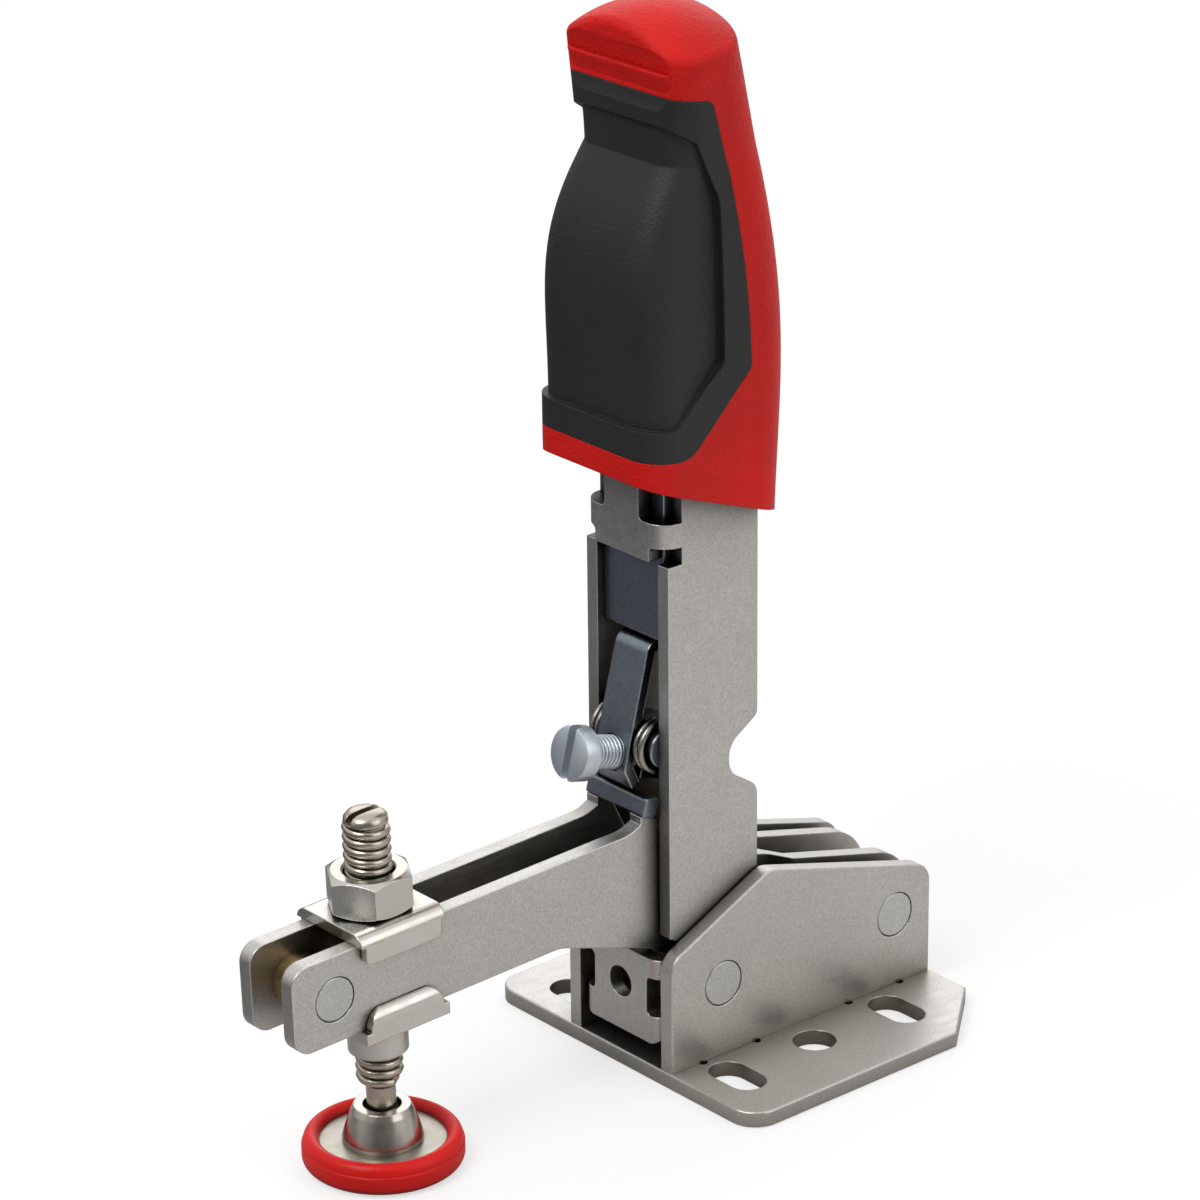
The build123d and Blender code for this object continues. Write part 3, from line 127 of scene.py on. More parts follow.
class ClampPlating(bpy.types.PropertyGroup):
    sheet: colour("Sheet plating", "Satin nickel on the stamped plates", (0.66, 0.64, 0.61))
    # Painted highlight along the plates' edges, partly wear.
    edge: colour("Worn edge", "Brighter metal along the edges of the plates", (0.90, 0.90, 0.89))
    rivet: colour("Rivet", "Ends of pins and rivets", (0.66, 0.655, 0.64))
    # Painted shade: the colour that gaps and hollows between the plates are darkened towards.
    deep: colour("Hidden metal", "Dull plating deep between the plates", (0.110, 0.092, 0.066))
    # Dark plating: bluish zinc, darker partly as painted shade; its edge colour is a painted highlight, its
    # gap colour painted shade.
    slate: colour("Dark plating", "Cross bar, lever and back plate", (0.30, 0.34, 0.39))
    slate_edge_highlight: colour("Dark plating's edge", "Metal worn bright on the dark pieces", (0.70, 0.72, 0.75))
    slate_painted_shade: colour("Dark plating in gaps", "Dark pieces where little light comes", (0.012, 0.013, 0.015))
    # Spring wire: darker partly as painted shade; its shine is a painted highlight, its gap colour painted
    # shade between the coils.
    spring: colour("Spring wire", "Wire of the two coils", (0.42, 0.40, 0.37))
    spring_highlight: colour("Spring's shine", "Bright line along the wire", (0.7, 0.7, 0.7))
    spring_painted_shade: colour("Spring in gaps", "Wire between the coils", (0.010, 0.009, 0.008))
    blue: colour("Blue zinc", "Blue passivated adjusting screw", (0.62, 0.70, 0.72))
    bright: colour("Bright zinc", "Saddles and nut", (0.64, 0.63, 0.61))
    steel: colour("Steel", "Threaded spindle", (0.50, 0.46, 0.40))
    cup: colour("Cup", "Swivel cup round the ball", (0.58, 0.56, 0.53))
    disc: colour("Disc", "Disc of the pressure pad", (0.46, 0.44, 0.40))
    brass: colour("Sleeve", "Sleeve on the nose rivet", (0.62, 0.47, 0.24))
    # This edge band carries the painted highlight and also rounds the edges.
    edge_width: length("Edge width", "Width of the worn edges", 0.00035)


class ClampGrip(bpy.types.PropertyGroup):
    shell: colour("Shell", "Moulded shell of the grip", (0.60, 0.009, 0.006))
    inlay: colour("Inlay", "Soft inlay of the grip", (0.020, 0.020, 0.020))
    cap: colour("Pad cap", "Rubber cap of the pressure pad", (0.68, 0.010, 0.007))
    grain: length("Grain", "Size of the moulded grain", 0.0005)
    ledge_height: length("Ledge height", "Height of the thumb ledge on the crown", 0.1755)
    ledge_half: length("Ledge half width", "Half the width of the thumb ledge", 0.0122)
    ledge_stand: length("Ledge stand", "How far the thumb ledge stands out", 0.0009)


class ClampThreads(bpy.types.PropertyGroup):
    spindle_radius: length("Spindle radius", "Outside of the spindle's thread", 0.00395)
    spindle_pitch: length("Spindle pitch", "Crest to crest along the spindle", 0.00165)
    spindle_top: length("Spindle top", "Height of the spindle's upper end", 0.0632)
    thread_end: length("Thread end", "Height where the spindle's thread stops", 0.0150)
    ball_height: length("Ball height", "Height of the ball's centre", 0.0076)
    ball_radius: length("Ball radius", "Radius of the ball", 0.0034)
    neck_radius: length("Neck radius", "Radius of the neck above the ball", 0.00245)
    spindle_slot: length("Spindle slot", "Width of the slot in the spindle's tip", 0.0014)
    spindle_slot_depth: length("Spindle slot depth", "Depth of the slot in the spindle's tip", 0.0016)
    nut_width: length("Nut width", "Across the flats of the nut", 0.0130)
    nut_flat: length("Nut face", "Radius of the flat end of the nut", 0.0061)
    nut_play: length("Nut play", "Gap between the nut's bore and the thread", 0.00015)
    screw_radius: length("Screw radius", "Outside of the adjusting screw's thread", 0.00295)
    screw_pitch: length("Screw pitch", "Crest to crest along the adjusting screw", 0.0008)
    screw_reach: length("Screw reach", "From the lever to the end of the adjusting screw", 0.0114)
    head_stand: length("Head stand", "From the lever to the face of the screw's head", 0.0104)
    head_radius: length("Head radius", "Radius of the adjusting screw's head", 0.0047)
    head_height: length("Head height", "Height of the adjusting screw's head", 0.0031)
    head_slot: length("Head slot", "Width of the slot in the screw's head", 0.0017)
    head_slot_depth: length("Head slot depth", "Depth of the slot in the screw's head", 0.0020)


class ClampStudio(bpy.types.PropertyGroup):
    floor: colour("Floor", "Pale floor and backdrop", (0.93, 0.93, 0.93))
    bounce: colour("Floor bounce", "Lit side of the floor as the metal reflects it", (0.60, 0.59, 0.58))
    shade: colour("Floor shade", "Dark card in front, seen only in reflections", (0.10, 0.10, 0.11))
    key_power: power("Key light", "Power of the main soft light", 5.6)
    fill_power: power("Fill light", "Power of the side light", 1.8)
    back_power: power("Back light", "Power of the light behind", 2.1)
    focal: bpy.props.FloatProperty(
        name="Focal length", description="Camera's focal length", default=146.427, unit="CAMERA", min=1
    )


# ---- node trees ------------------------------------------------------------------------


class Nodes:
    """A node tree that is built up node by node."""

    def __init__(self, tree):
        self.tree = tree

    def feed(self, value, socket):
        """Links a socket to an output, or sets it to a plain value."""
        if isinstance(value, bpy.types.NodeSocket):
            self.tree.links.new(value, socket)
        elif socket.type == "RGBA":
            socket.default_value = (*value, 1)
        else:
            socket.default_value = value

    def fill(self, node, inputs):
        """Feeds a node's inputs, given by name in a dictionary or in order in a tuple."""
        for key, value in inputs.items() if isinstance(inputs, dict) else enumerate(inputs):
            self.feed(value, node.inputs[key])

    def add(self, kind, inputs=(), **settings):
        """A new node, with its settings made before its inputs are fed."""
        node = self.tree.nodes.new(kind)
        for key, value in settings.items():
            setattr(node, key, value)
        self.fill(node, inputs)
        return node

    def combine(self, operation, first, second, clamped=True):
        node = self.add("ShaderNodeMath", (first, second), operation=operation, use_clamp=clamped)
        return node.outputs["Value"]

    def dot(self, first, second):
        node = self.add("ShaderNodeVectorMath", (first, second), operation="DOT_PRODUCT")
        return node.outputs["Value"]

    def spread(self, source, low, high, start=0.3, end=0.7):
        """Maps start to end, by default the busy middle of a noise, onto low to high."""
        values = {"Value": source, "From Min": start, "From Max": end, "To Min": low, "To Max": high}
        return self.add("ShaderNodeMapRange", values).outputs["Result"]

    def mix(self, factor, first, second):
        """A colour between two, each a colour or a socket."""
        values = {"Factor": factor, "A": first, "B": second}
        return self.add("ShaderNodeMix", values, data_type="RGBA").outputs["Result"]

    def blend(self, factor, first, second):
        """A shader between two."""
        return self.add("ShaderNodeMixShader", (factor, first, second)).outputs["Shader"]


class Finish(Nodes):
    """One procedural material, built round its Principled BSDF."""

    def __init__(self, name):
        self.material = bpy.data.materials.new(name)
        self.material.use_nodes = True
        super().__init__(self.material.node_tree)
        self.shader = self.tree.nodes["Principled BSDF"]
        self.place = self.add("ShaderNodeTexCoord").outputs["Object"]

    def noise(self, scale, detail, rough, stretch=None):
        place = self.place
        if stretch:
            place = self.add("ShaderNodeMapping", {"Vector": place, "Scale": stretch}).outputs["Vector"]
        values = {"Vector": place, "Scale": scale, "Detail": detail, "Roughness": rough}
        return self.add("ShaderNodeTexNoise", values).outputs["Fac"]

    def cloudy(self, source, tint, low, high):
        """A tint that drifts between two shades of itself."""
        return self.mix(self.spread(source, 0, 1), scaled(tint, low), scaled(tint, high))

    def edges(self, width, gain):
        """1 along sharp edges and 0 on the faces, and the normal that rounds those edges."""
        rounded = self.add("ShaderNodeBevel", {"Radius": width}, samples=6).outputs["Normal"]
        true_normal = self.add("ShaderNodeNewGeometry").outputs["True Normal"]
        turned_away = self.combine("SUBTRACT", 1.0, self.dot(rounded, true_normal))
        return self.combine("MULTIPLY", turned_away, gain), rounded

    def painted_gap_shade(self, reach, start=0.2, end=0.8):
        """Painted shade from ambient occlusion: 0 far into a gap, 1 on an open face."""
        node = self.add("ShaderNodeAmbientOcclusion", {"Distance": reach}, samples=6)
        return self.spread(node.outputs["AO"], 0, 1, start, end)

    def bump(self, height, depth, strength, normal):
        values = {"Height": height, "Distance": depth, "Strength": strength, "Normal": normal}
        self.feed(self.add("ShaderNodeBump", values).outputs["Normal"], self.shader.inputs["Normal"])


def scaled(tint, factor):
    return tuple(min(1, v * factor) for v in tint)


def plated_finish(name, tint, edge, deep, edge_width, roughness, reach=0.016, opening=(0.2, 0.8)):
    """Satin plating: a fine speckle, faint rolling marks, brighter edges as a painted highlight with some
    wear, painted shade in the gaps.
    """
    finish = Finish(name)
    speckle = finish.noise(scale=3300, detail=2.0, rough=0.7)
    cloud = finish.noise(scale=60, detail=3.0, rough=0.55)
    rolled = finish.noise(scale=900, detail=2.0, rough=0.5, stretch=(1, 0.2, 1))
    body = finish.cloudy(cloud, tint, low=0.96, high=1.04)
    fleck = scaled(tint, 0.62)
    body = finish.mix(finish.spread(speckle, 0, 0.8), body, fleck)
    # Brighter edges: a painted highlight, partly wear.
    highlit_worn, rounded = finish.edges(edge_width, gain=3.2)
    body = finish.mix(highlit_worn, body, edge)
    # Painted shade: darker towards the hidden colour in gaps, by ambient occlusion.
    body = finish.mix(finish.painted_gap_shade(reach, *opening), deep, body)
    rough = finish.spread(rolled, roughness - 0.04, roughness + 0.06)
    polish = finish.combine("MULTIPLY", highlit_worn, 0.12)
    rough = finish.combine("SUBTRACT", rough, polish)
    finish.fill(finish.shader, {"Metallic": 1.0, "Base Color": body, "Roughness": rough})
    finish.bump(speckle, depth=0.00002, strength=0.6, normal=rounded)
    return finish.material


def bright_finish(name, tint, deep, edge_width, roughness, reach=0.005):
    """Bright zinc: clear reflections, a slight ripple and faint yellow patches."""
    finish = Finish(name)
    ripple = finish.noise(scale=420, detail=2.0, rough=0.5)
    patch = finish.noise(scale=160, detail=2.0, rough=0.6)
    yellowed = tuple(v * kept for v, kept in zip(tint, (0.97, 0.92, 0.80)))
    highlit_worn, rounded = finish.edges(edge_width, gain=2.0)
    body = finish.mix(finish.spread(patch, 0, 0.7), tint, yellowed)
    # Brighter edges: a painted highlight, partly wear.
    body = finish.mix(highlit_worn, body, scaled(tint, 1.25))
    # Painted shade in gaps, by ambient occlusion.
    body = finish.mix(finish.painted_gap_shade(reach, 0.1, 0.7), deep, body)
    rough = finish.spread(ripple, roughness - 0.04, roughness + 0.08)
    finish.fill(finish.shader, {"Metallic": 1.0, "Base Color": body, "Roughness": rough})
    finish.bump(ripple, depth=0.00004, strength=0.5, normal=rounded)
    return finish.material


def moulded_finish(name, tint, grain, roughness, depth, gloss):
    """Spark-eroded moulding: an even grain, a faint sheen, painted shade in its hollows."""
    finish = Finish(name)
    pebble = finish.noise(scale=1 / grain, detail=3.0, rough=0.6)
    handled = finish.noise(scale=55, detail=3.0, rough=0.6)
    body = finish.cloudy(handled, tint, low=0.86, high=1.10)
    # Painted shade: darker in hollows and recesses, by ambient occlusion.
    body = finish.mix(finish.painted_gap_shade(reach=0.008), scaled(tint, 0.45), body)
    rough = finish.spread(handled, roughness - 0.05, roughness + 0.06)
    finish.fill(finish.shader, {"Base Color": body, "Roughness": rough, "Specular IOR Level": gloss})
    rounded = finish.edges(width=0.0004, gain=1.0)[1]
    finish.bump(pebble, depth=depth, strength=0.8, normal=rounded)
    return finish.material


def dress(names, material):
    for name in names:
        mesh = frame["nodes"][name].data
        mesh.materials.clear()
        mesh.materials.append(material)


# ---- objects and meshes ----------------------------------------------------------------


def put(name, data):
    """A new object in the scene."""
    item = bpy.data.objects.new(name, data)
    bpy.context.scene.collection.objects.link(item)
    return item


def owned(mesh_name, mesh, material, body, *replaced):
    """A finished piece: its mesh in place, riding on a body."""
    piece = put(mesh_name, mesh)
    mesh.materials.clear()
    mesh.materials.append(material)
    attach(piece, body)
    if replaced:
        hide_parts(*replaced)


def closed_mesh(name, mesh):
    """A mesh from a bmesh whose faces close round a solid, all turned outwards."""
    bmesh.ops.recalc_face_normals(mesh, faces=mesh.faces)
    data = bpy.data.meshes.new(name)
    mesh.to_mesh(data)
    mesh.free()
    return data


def settled(item):
    """The mesh of an object with its modifiers applied."""
    graph = bpy.context.evaluated_depsgraph_get()
    graph.update()
    return bpy.data.meshes.new_from_object(item.evaluated_get(graph))


def smooth(mesh, angle=35):
    mesh.shade_smooth()
    mesh.set_sharp_from_angle(angle=math.radians(angle))


# ---- turned pieces and threads ---------------------------------------------------------


def turned(outline, segments=64):
    """A solid of revolution about Z from a list of (radius, height), bottom to top."""
    on_axis = 1e-7
    mesh = bmesh.new()
    rings = []
    for radius, height in outline:
        if radius < on_axis:
            rings.append([mesh.verts.new((0, 0, height))])
            continue
        turns = (2 * math.pi * i / segments for i in range(segments))
        rings.append([mesh.verts.new((radius * math.cos(a), radius * math.sin(a), height)) for a in turns])
    for low, high in zip(rings, rings[1:]):
        for i in range(segments):
            j = (i + 1) % segments
            if len(low) == 1:
                mesh.faces.new((low[0], high[j], high[i]))
            elif len(high) == 1:
                mesh.faces.new((low[i], low[j], high[0]))
            else:
                mesh.faces.new((low[i], low[j], high[j], high[i]))
    return closed_mesh("turned", mesh)


def arc(radius, start, end, steps=16):
    """Points of a circle round the origin, by angle from its lowest point."""
    angles = (math.radians(start + (end - start) * i / steps) for i in range(steps + 1))
    return [(radius * math.sin(a), -radius * math.cos(a)) for a in angles]


def cut_slot(mesh, width, across, face, depth):
    """Cuts a straight screwdriver slot across the end of a turned piece, down from its face."""
    clear = 0.001
    floor, top = face - depth, face + clear
    middle = Matrix.Translation((0, 0, (top + floor) / 2))
    block = bmesh.new()
    bmesh.ops.create_cube(block, size=1, matrix=middle @ Matrix.Diagonal((width, across, top - floor, 1)))
    body = put("slot_body", mesh)
    cutter = put("slot_cutter", closed_mesh("slot_cutter", block))
    cut = body.modifiers.new("Slot", "BOOLEAN")
    cut.operation = "DIFFERENCE"
    cut.object = cutter
    cut.solver = "EXACT"
    result = settled(body)
    for item in (body, cutter):
        bpy.data.objects.remove(item)
    return result


def hexagon(width, height, flat, bore, segments=96):
    """A hexagon nut standing on the origin, chamfered at both ends, with a countersunk bore."""
    slope = math.tan(math.radians(30))
    sink = 0.0004
    sixth = math.pi / 3
    mesh = bmesh.new()
    columns = []
    for i in range(segments):
        turn = 2 * math.pi * i / segments
        side = width / 2 / math.cos((turn + sixth / 2) % sixth - sixth / 2)
        drop = (side - flat) * slope
        column = (
            (bore, 0), (flat, 0), (side, drop), (side, height - drop), (flat, height),
            (bore + sink, height), (bore, height - sink),
        )
        columns.append([
            mesh.verts.new((radius * math.cos(turn), radius * math.sin(turn), level))
            for radius, level in column
        ])
    for here, there in zip(columns, columns[1:] + columns[:1]):
        for k in range(len(here)):
            j = (k + 1) % len(here)
            mesh.faces.new((here[k], there[k], there[j], here[j]))
    return closed_mesh("hexagon", mesh)


def thread_tree():
    """Geometry nodes for an outside thread: a ridge wound round the axis."""
    tree = bpy.data.node_groups.new("Thread ridge", "GeometryNodeTree")
    tree.interface.new_socket("Geometry", in_out="OUTPUT", socket_type="NodeSocketGeometry")
    for label, kind in (
        ("Major radius", "NodeSocketFloat"), ("Pitch", "NodeSocketFloat"),
        ("Length", "NodeSocketFloat"), ("Points per turn", "NodeSocketInt"),
        ("Finish", "NodeSocketMaterial"),
    ):
        tree.interface.new_socket(label, in_out="INPUT", socket_type=kind)
    nodes = Nodes(tree)
    given = nodes.add("NodeGroupInput").outputs
    ridge = nodes.combine("MULTIPLY", given["Pitch"], RIDGE_SHARE, clamped=False)
    middle = nodes.combine("SUBTRACT", given["Major radius"], ridge, clamped=False)
    spiral = nodes.add("GeometryNodeCurveSpiral", {
        "Resolution": given["Points per turn"],
        "Rotations": nodes.combine("DIVIDE", given["Length"], given["Pitch"], clamped=False),
        "Start Radius": middle,
        "End Radius": middle,
        "Height": given["Length"],
    })
    upright = nodes.add("GeometryNodeSetCurveNormal", {"Curve": spiral.outputs[0]}, mode="Z_UP")
    section = nodes.add("GeometryNodeCurvePrimitiveCircle", {"Resolution": RIDGE_SIDES, "Radius": ridge})
    wound = nodes.add("GeometryNodeCurveToMesh", {
        "Curve": upright.outputs["Curve"], "Profile Curve": section.outputs[0], "Fill Caps": True,
    })
    realize = nodes.add("GeometryNodeRealizeInstances", {"Geometry": wound.outputs["Mesh"]})
    coat = nodes.add("GeometryNodeSetMaterial", {"Geometry": realize.outputs[0], "Material": given["Finish"]})
    nodes.add("NodeGroupOutput", {"Geometry": coat.outputs[0]})
    return tree


def wound_thread(radius, pitch, start, end, material):
    """The mesh of a thread ridge that climbs along Z from start to end."""
    tree = bpy.data.node_groups.get("Thread ridge") or thread_tree()
    carrier = put("thread_carrier", bpy.data.meshes.new("thread_carrier"))
    ridge = carrier.modifiers.new("Thread", "NODES")
    ridge.node_group = tree
    values = {
        "Major radius": radius, "Pitch": pitch, "Length": end - start,
        "Points per turn": POINTS_PER_TURN, "Finish": material,
    }
    for item in tree.interface.items_tree:
        if item.in_out == "INPUT":
            ridge[item.identifier] = values[item.name]
    mesh = settled(carrier)
    bpy.data.objects.remove(carrier)
    mesh.transform(Matrix.Translation((0, 0, start)))
    smooth(mesh, 60)
    return mesh


def level_ledge(name, height, half, stand, steps=48):
    """A level lip on the front of a node: square on top, tapered into the skin below."""
    skin = frame["nodes"][name].data
    tree = BVHTree.FromPolygons([v.co for v in skin.vertices], [p.vertices for p in skin.polygons])
    ahead, rearward = -0.2, Vector((0, 1, 0))
    end_round, end_depth = 2 * stand, 0.35
    mesh = bmesh.new()
    rings = []
    for i in range(steps + 1):
        x = half * -math.cos(math.pi * i / steps)
        share = min(1.0, (half - abs(x)) / end_round)
        rise = math.sqrt(1 - (1 - share) ** 2)
        ring = []
        for out, up in LEDGE_OUTLINE:
            level = height + up * stand * (end_depth + (1 - end_depth) * rise)
            front = tree.ray_cast(Vector((x, ahead, level)), rearward)[0].y
            lift = out * stand * rise if out > 0 else out * stand
            ring.append(mesh.verts.new((x, front - lift, level)))
        rings.append(ring)
    for low, high in zip(rings, rings[1:]):
        for k in range(len(LEDGE_OUTLINE)):
            j = (k + 1) % len(LEDGE_OUTLINE)
            mesh.faces.new((low[k], low[j], high[j], high[k]))
    mesh.faces.new(rings[0])
    mesh.faces.new(rings[-1][::-1])
    return closed_mesh("ledge", mesh)


def spindle_place(ball_height):
    """The ball's centre, with Z up along the leaning spindle."""
    low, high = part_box("swivel_cup")
    centre = Vector((0, (low.y + high.y) / 2, ball_height))
    return Matrix.Translation(centre) @ Matrix.Rotation(SPINDLE_LEAN, 4, "X")


def screw_place():
    """The adjusting screw's joint, with Z out towards the screw's head."""
    joints = frame["record"]["behaviour"]["joints"]
    joint = next(item for item in joints if item["name"] == "screw_turn")
    return Matrix.Translation(joint["pos_m"]) @ Matrix.Rotation(math.radians(90) - SCREW_RISE, 4, "X")


# ---- studio ----------------------------------------------------------------------------


def floor_finish(studio):
    """Nearly white to the camera; in reflections it is darker towards the front left."""
    pale = Finish("pale_floor")
    seen = pale.add("ShaderNodeLightPath").outputs["Is Camera Ray"]
    front_left = (-0.76, -0.65, 0)
    card = pale.spread(pale.dot(pale.place, front_left), 0, 1, start=0.0, end=0.14)
    tint = pale.mix(seen, pale.mix(card, studio.bounce, studio.shade), studio.floor)
    pale.fill(pale.shader, {"Roughness": 0.9, "Base Color": tint})
    white = pale.add("ShaderNodeEmission", {"Color": WHITE}).outputs["Emission"]
    glow = pale.combine("MULTIPLY", seen, 0.62)
    surface = pale.blend(glow, pale.shader.outputs["BSDF"], white)
    pale.fill(pale.tree.nodes["Material Output"], {"Surface": surface})
    return pale.material


def lay_floor(material):
    """A wide sheet, just clear of the base plate's underside."""
    half, sink = 6, 0.0002
    data = bpy.data.meshes.new("floor")
    corners = [(-half, -half, -sink), (half, -half, -sink), (half, half, -sink), (-half, half, -sink)]
    data.from_pydata(corners, [], [range(4)])
    data.materials.append(material)
    put("floor", data)


def light_dome(scene):
    """A world that is white to the camera, and lights less from below and from the front right."""
    world = bpy.data.worlds.new("studio_world")
    scene.world = world
    world.use_nodes = True
    sky = Nodes(world.node_tree)
    way = sky.add("ShaderNodeTexCoord").outputs["Generated"]
    upward, front_right = (0, 0, 1), (0.72, -0.62, 0.30)
    strength = sky.combine(
        "MULTIPLY",
        sky.spread(sky.dot(way, upward), 0.38, 1.0, start=-0.1, end=0.8),
        sky.spread(sky.dot(way, front_right), 1.0, 0.22, start=0.35, end=0.95),
    )
    dome = sky.tree.nodes["Background"]
    sky.fill(dome, {"Color": WHITE, "Strength": strength})
    backdrop = sky.add("ShaderNodeBackground", {"Color": WHITE, "Strength": 1.0})
    seen = sky.add("ShaderNodeLightPath").outputs["Is Camera Ray"]
    surface = sky.blend(seen, dome.outputs["Background"], backdrop.outputs["Background"])
    sky.fill(sky.tree.nodes["World Output"], {"Surface": surface})


def soft_light(name, place, target, size, energy):
    """A rectangular lamp that faces its target."""
    lamp = bpy.data.lights.new(name, "AREA")
    lamp.shape = "RECTANGLE"
    lamp.size, lamp.size_y = size
    lamp.energy = energy
    aim = (Vector(place) - Vector(target)).normalized()
    facing = aim.to_track_quat("Z", "Y").to_matrix().to_4x4()
    put(name, lamp).matrix_world = Matrix.Translation(place) @ facing


def set_camera(scene, focal):
    """A long lens at the front right, tilted down at the clamp."""
    optics = bpy.data.cameras.new("camera")
    optics.lens = focal
    optics.sensor_width = 36
    optics.shift_x, optics.shift_y = CAMERA_SHIFT
    optics.clip_start = 0.01
    back = Vector((
        math.sin(CAMERA_TURN) * math.cos(CAMERA_TILT),
        -math.cos(CAMERA_TURN) * math.cos(CAMERA_TILT),
        math.sin(CAMERA_TILT),
    ))
    right = Vector((math.cos(CAMERA_TURN), math.sin(CAMERA_TURN), 0))
    up = back.cross(right)
    across = right * math.cos(CAMERA_ROLL) + up * math.sin(CAMERA_ROLL)
    over = up * math.cos(CAMERA_ROLL) - right * math.sin(CAMERA_ROLL)
    camera = put("camera", optics)
    axes = Matrix((across, over, back)).transposed().to_4x4()
    camera.matrix_world = Matrix.Translation(CAMERA_PLACE) @ axes
    scene.camera = camera


# ---- operators -------------------------------------------------------------------------


class CLAMP_OT_plating(bpy.types.Operator):
    """Plate the stamped sheet, the rivets, the saddles and the adjuster"""

    bl_idname = "clamp.plating"
    bl_label = "Plating"

    def execute(self, context):
        plating = context.scene.clamp_plating
        width = plating.edge_width
        sheet_tint, bright_tint = tuple(plating.sheet), tuple(plating.bright)
        rivet_tint, brass_tint = tuple(plating.rivet), tuple(plating.brass)
        edge, deep = tuple(plating.edge), tuple(plating.deep)
        # The channel gets a darker painted shade that reaches further into it.
        channel_painted_shade = scaled(deep, 0.18)
        dress(SHEET_NODES, plated_finish("satin_nickel", sheet_tint, edge, deep, width, roughness=0.40))
        dress(("handle_channel",), plated_finish(
            "channel_nickel", sheet_tint, edge, channel_painted_shade, width,
            roughness=0.40, reach=0.032, opening=(0.45, 0.95),
        ))
        dress(RIVET_NODES, plated_finish("rivet_ends", rivet_tint, edge, deep, width, roughness=0.34))
        dress(SLATE_NODES, plated_finish(
            "dark_plating", tuple(plating.slate), tuple(plating.slate_edge_highlight), tuple(plating.slate_painted_shade),
            width * 1.4, roughness=0.30,
        ))
        dress(SPRING_NODES, plated_finish(
            "spring_wire", tuple(plating.spring), tuple(plating.spring_highlight), tuple(plating.spring_painted_shade),
            width / 2, roughness=0.28, reach=0.014, opening=(0.25, 0.85),
        ))
        plated_finish("blue_zinc", tuple(plating.blue), edge, deep, width, roughness=0.30, reach=0.004)
        dress(BRIGHT_NODES, bright_finish("bright_zinc", bright_tint, deep, width, roughness=0.24))
        dress(("swivel_cup",), bright_finish("bright_cup", tuple(plating.cup), deep, width, roughness=0.20))
        dress(("pad_disc",), bright_finish("satin_disc", tuple(plating.disc), deep, width, roughness=0.36))
        dress(("nose_sleeve",), bright_finish("brass_sleeve", brass_tint, deep, width, roughness=0.26))
        bright_finish("nut_zinc", scaled(bright_tint, 0.92), deep, width * 0.6, roughness=0.24)
        bright_finish("spindle_steel", tuple(plating.steel), deep, width / 2, roughness=0.26, reach=0.002)
        return {"FINISHED"}


class CLAMP_OT_grip(bpy.types.Operator):
    """Give the grip's shell, its inlay and the pad's cap their moulded finishes, and add the thumb ledge"""

    bl_idname = "clamp.grip"
    bl_label = "Grip and cap"

    def execute(self, context):
        grip = context.scene.clamp_grip
        shell = moulded_finish(
            "red_shell", tuple(grip.shell), grip.grain * 1.3, roughness=0.46, depth=0.00030, gloss=0.18
        )
        inlay = moulded_finish(
            "soft_inlay", tuple(grip.inlay), grip.grain * 0.9, roughness=0.48, depth=0.00018, gloss=0.30
        )
        cap = moulded_finish(
            "rubber_cap", tuple(grip.cap), grip.grain * 0.7, roughness=0.38, depth=0.00001, gloss=0.22
        )
        dress(("grip_shell",), shell)
        dress(("grip_inlay",), inlay)
        dress(("pad_cap",), cap)
        mesh = level_ledge("grip_shell", grip.ledge_height, grip.ledge_half, grip.ledge_stand)
        smooth(mesh, 30)
        owned("thumb_ledge", mesh, shell, "handle")
        return {"FINISHED"}


class CLAMP_OT_spindle(bpy.types.Operator):
    """Make the threaded spindle with its slotted tip, neck and ball"""

    bl_idname = "clamp.spindle"
    bl_label = "Threaded spindle"

    def execute(self, context):
        sizes = context.scene.clamp_threads
        steel = bpy.data.materials["spindle_steel"]
        place = spindle_place(sizes.ball_height)
        top = (sizes.spindle_top - sizes.ball_height) / math.cos(SPINDLE_LEAN)
        start = (sizes.thread_end - sizes.ball_height) / math.cos(SPINDLE_LEAN)
        root = sizes.spindle_radius - RIDGE_SHARE * sizes.spindle_pitch
        neck, ball = sizes.neck_radius, sizes.ball_radius
        outline = arc(ball, 0, 180 - math.degrees(math.asin(neck / ball)))
        outline += [(neck + out, start + up) for out, up in NECK_SHOULDER]
        outline.append((root, start + 0.0002))
        outline += [(root + out, top + up) for out, up in SPINDLE_TIP]
        outline.append((0, top))
        across = 0.010
        rod = cut_slot(turned(outline), sizes.spindle_slot, across, top, sizes.spindle_slot_depth)
        rod.transform(place)
        smooth(rod)
        owned("spindle_rod", rod, steel, "spindle", "spindle")
        bare_root, bare_tip = 0.0004, -SPINDLE_TIP[0][1]
        ridge = wound_thread(
            sizes.spindle_radius, sizes.spindle_pitch, start + bare_root, top - bare_tip, steel
        )
        ridge.transform(place)
        owned("spindle_thread", ridge, steel, "spindle")
        return {"FINISHED"}


class CLAMP_OT_nut(bpy.types.Operator):
    """Make the hexagon nut on the spindle"""

    bl_idname = "clamp.nut"
    bl_label = "Nut"

    def execute(self, context):
        sizes = context.scene.clamp_threads
        place = spindle_place(sizes.ball_height)
        levels = [(place.inverted() @ v.co).z for v in frame["nodes"]["hex_nut"].data.vertices]
        bore = sizes.spindle_radius + sizes.nut_play
        nut = hexagon(sizes.nut_width, max(levels) - min(levels), sizes.nut_flat, bore)
        nut.transform(place @ Matrix.Translation((0, 0, min(levels))))
        smooth(nut, 25)
        owned("nut_body", nut, bpy.data.materials["nut_zinc"], "nut", "hex_nut")
        return {"FINISHED"}


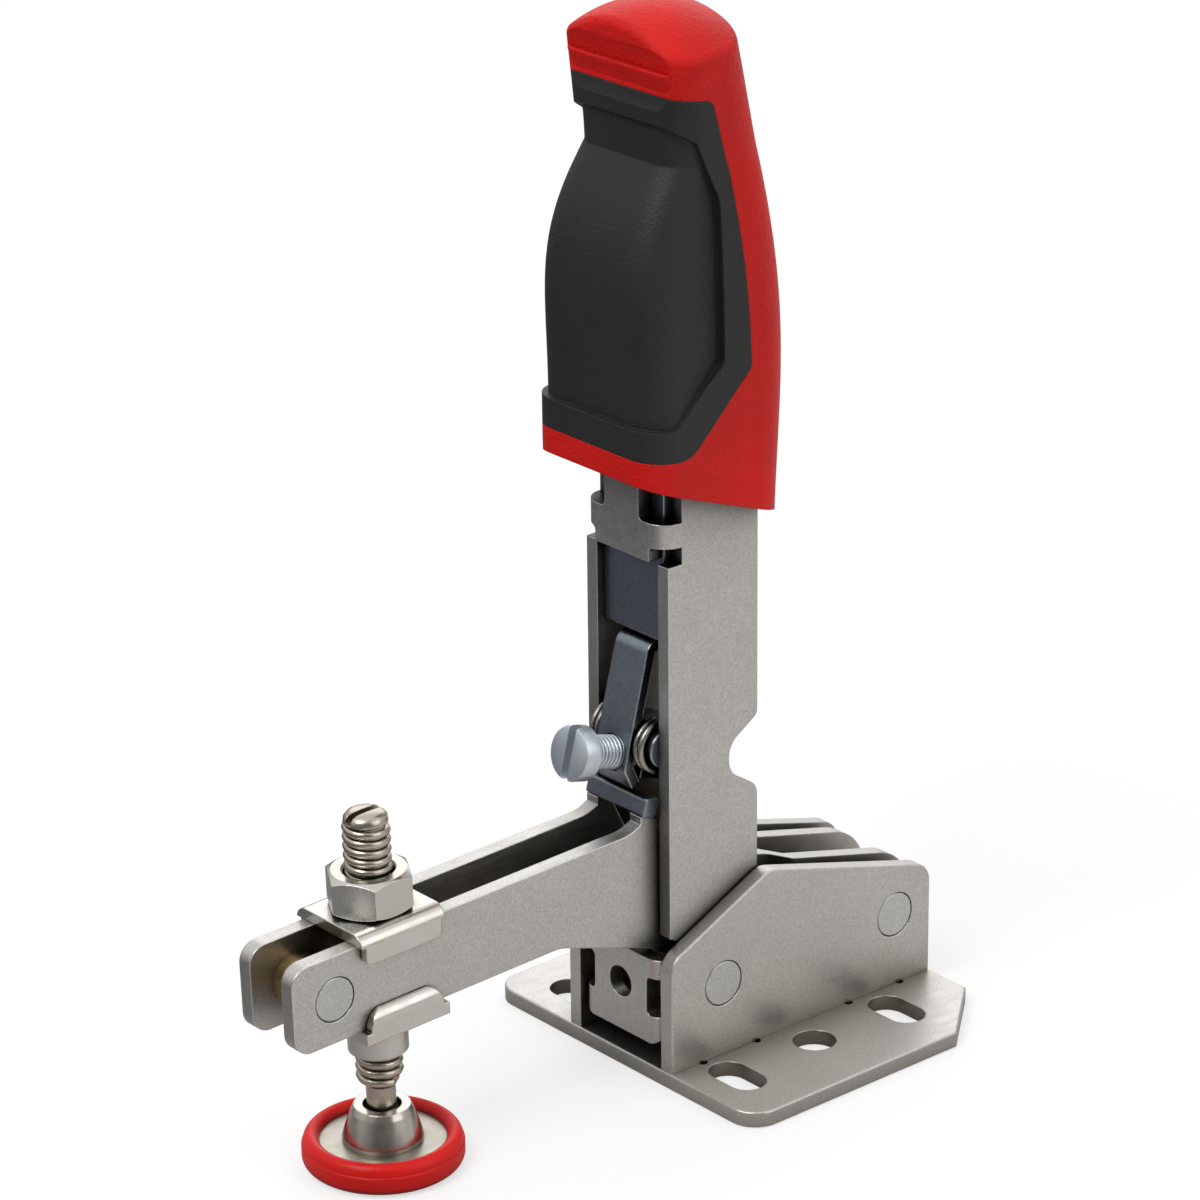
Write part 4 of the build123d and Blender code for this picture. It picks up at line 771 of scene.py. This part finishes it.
class CLAMP_OT_adjuster(bpy.types.Operator):
    """Make the adjusting screw with its slotted head and thread"""

    bl_idname = "clamp.adjuster"
    bl_label = "Adjusting screw"

    def execute(self, context):
        sizes = context.scene.clamp_threads
        blue = bpy.data.materials["blue_zinc"]
        place = screw_place()
        face, tail = sizes.head_stand, -sizes.screw_reach
        neck = face - sizes.head_height
        root = sizes.screw_radius - RIDGE_SHARE * sizes.screw_pitch
        head, head_edge, tail_edge = sizes.head_radius, 0.0006, 0.0004
        edge_cut = head_edge * 0.3
        outline = [
            (0, tail), (root - tail_edge, tail), (root, tail + tail_edge), (root, neck), (head, neck),
            (head, face - head_edge), (head - edge_cut, face - edge_cut), (head - head_edge, face), (0, face),
        ]
        across = 0.020
        mesh = cut_slot(turned(outline), sizes.head_slot, across, face, sizes.head_slot_depth)
        mesh.transform(place)
        smooth(mesh)
        owned("screw_body", mesh, blue, "screw", "adjusting_screw")
        bare_tail, bare_neck = 0.0005, 0.0003
        ridge = wound_thread(
            sizes.screw_radius, sizes.screw_pitch, tail + bare_tail, neck - bare_neck, blue
        )
        ridge.transform(place)
        owned("screw_thread", ridge, blue, "screw")
        return {"FINISHED"}


class CLAMP_OT_studio(bpy.types.Operator):
    """Set the pale floor, the soft lights and the camera"""

    bl_idname = "clamp.studio"
    bl_label = "Studio"

    def execute(self, context):
        scene = context.scene
        studio = scene.clamp_studio
        scene.view_settings.view_transform = "Standard"
        lay_floor(floor_finish(studio))
        light_dome(scene)
        for name, place, target, size, energy in (
            ("key_light", (0.10, -0.70, 0.90), (0, -0.03, 0.08), (0.5, 0.5), studio.key_power),
            ("back_light", (-0.80, 0.70, 0.50), (0, -0.03, 0.05), (0.9, 0.6), studio.back_power),
            ("fill_light", (0.85, 0.25, 0.55), (0, -0.03, 0.08), (0.7, 0.7), studio.fill_power),
        ):
            soft_light(name, place, target, size, energy)
        set_camera(scene, studio.focal)
        return {"FINISHED"}


# ---- sidebar and registration ----------------------------------------------------------


class CLAMP_PT_sidebar(bpy.types.Panel):
    bl_idname = "CLAMP_PT_sidebar"
    bl_label = "Toggle clamp"
    bl_space_type = "VIEW_3D"
    bl_region_type = "UI"
    bl_category = "Clamp"

    def draw(self, context):
        for operator in OPERATORS:
            self.layout.operator(operator.bl_idname)
        for group in GROUPS:
            box = self.layout.box()
            values = getattr(context.scene, group)
            for name in values.bl_rna.properties.keys():
                if name not in ("rna_type", "name"):
                    box.prop(values, name)


OPERATORS = (
    CLAMP_OT_plating, CLAMP_OT_grip, CLAMP_OT_spindle, CLAMP_OT_nut, CLAMP_OT_adjuster, CLAMP_OT_studio,
)
GROUPS = {
    "clamp_plating": ClampPlating,
    "clamp_grip": ClampGrip,
    "clamp_threads": ClampThreads,
    "clamp_studio": ClampStudio,
}


def register():
    for kind in (*GROUPS.values(), *OPERATORS, CLAMP_PT_sidebar):
        bpy.utils.register_class(kind)
    for name, kind in GROUPS.items():
        setattr(bpy.types.Scene, name, bpy.props.PointerProperty(type=kind))


def unregister():
    for name in GROUPS:
        delattr(bpy.types.Scene, name)
    for kind in reversed((*GROUPS.values(), *OPERATORS, CLAMP_PT_sidebar)):
        bpy.utils.unregister_class(kind)


def main():
    register()
    bpy.ops.clamp.plating()
    bpy.ops.clamp.grip()
    bpy.ops.clamp.spindle()
    bpy.ops.clamp.nut()
    bpy.ops.clamp.adjuster()
    bpy.ops.clamp.studio()
    bpy.context.view_layer.update()


if __name__ == "__main__":
    main()
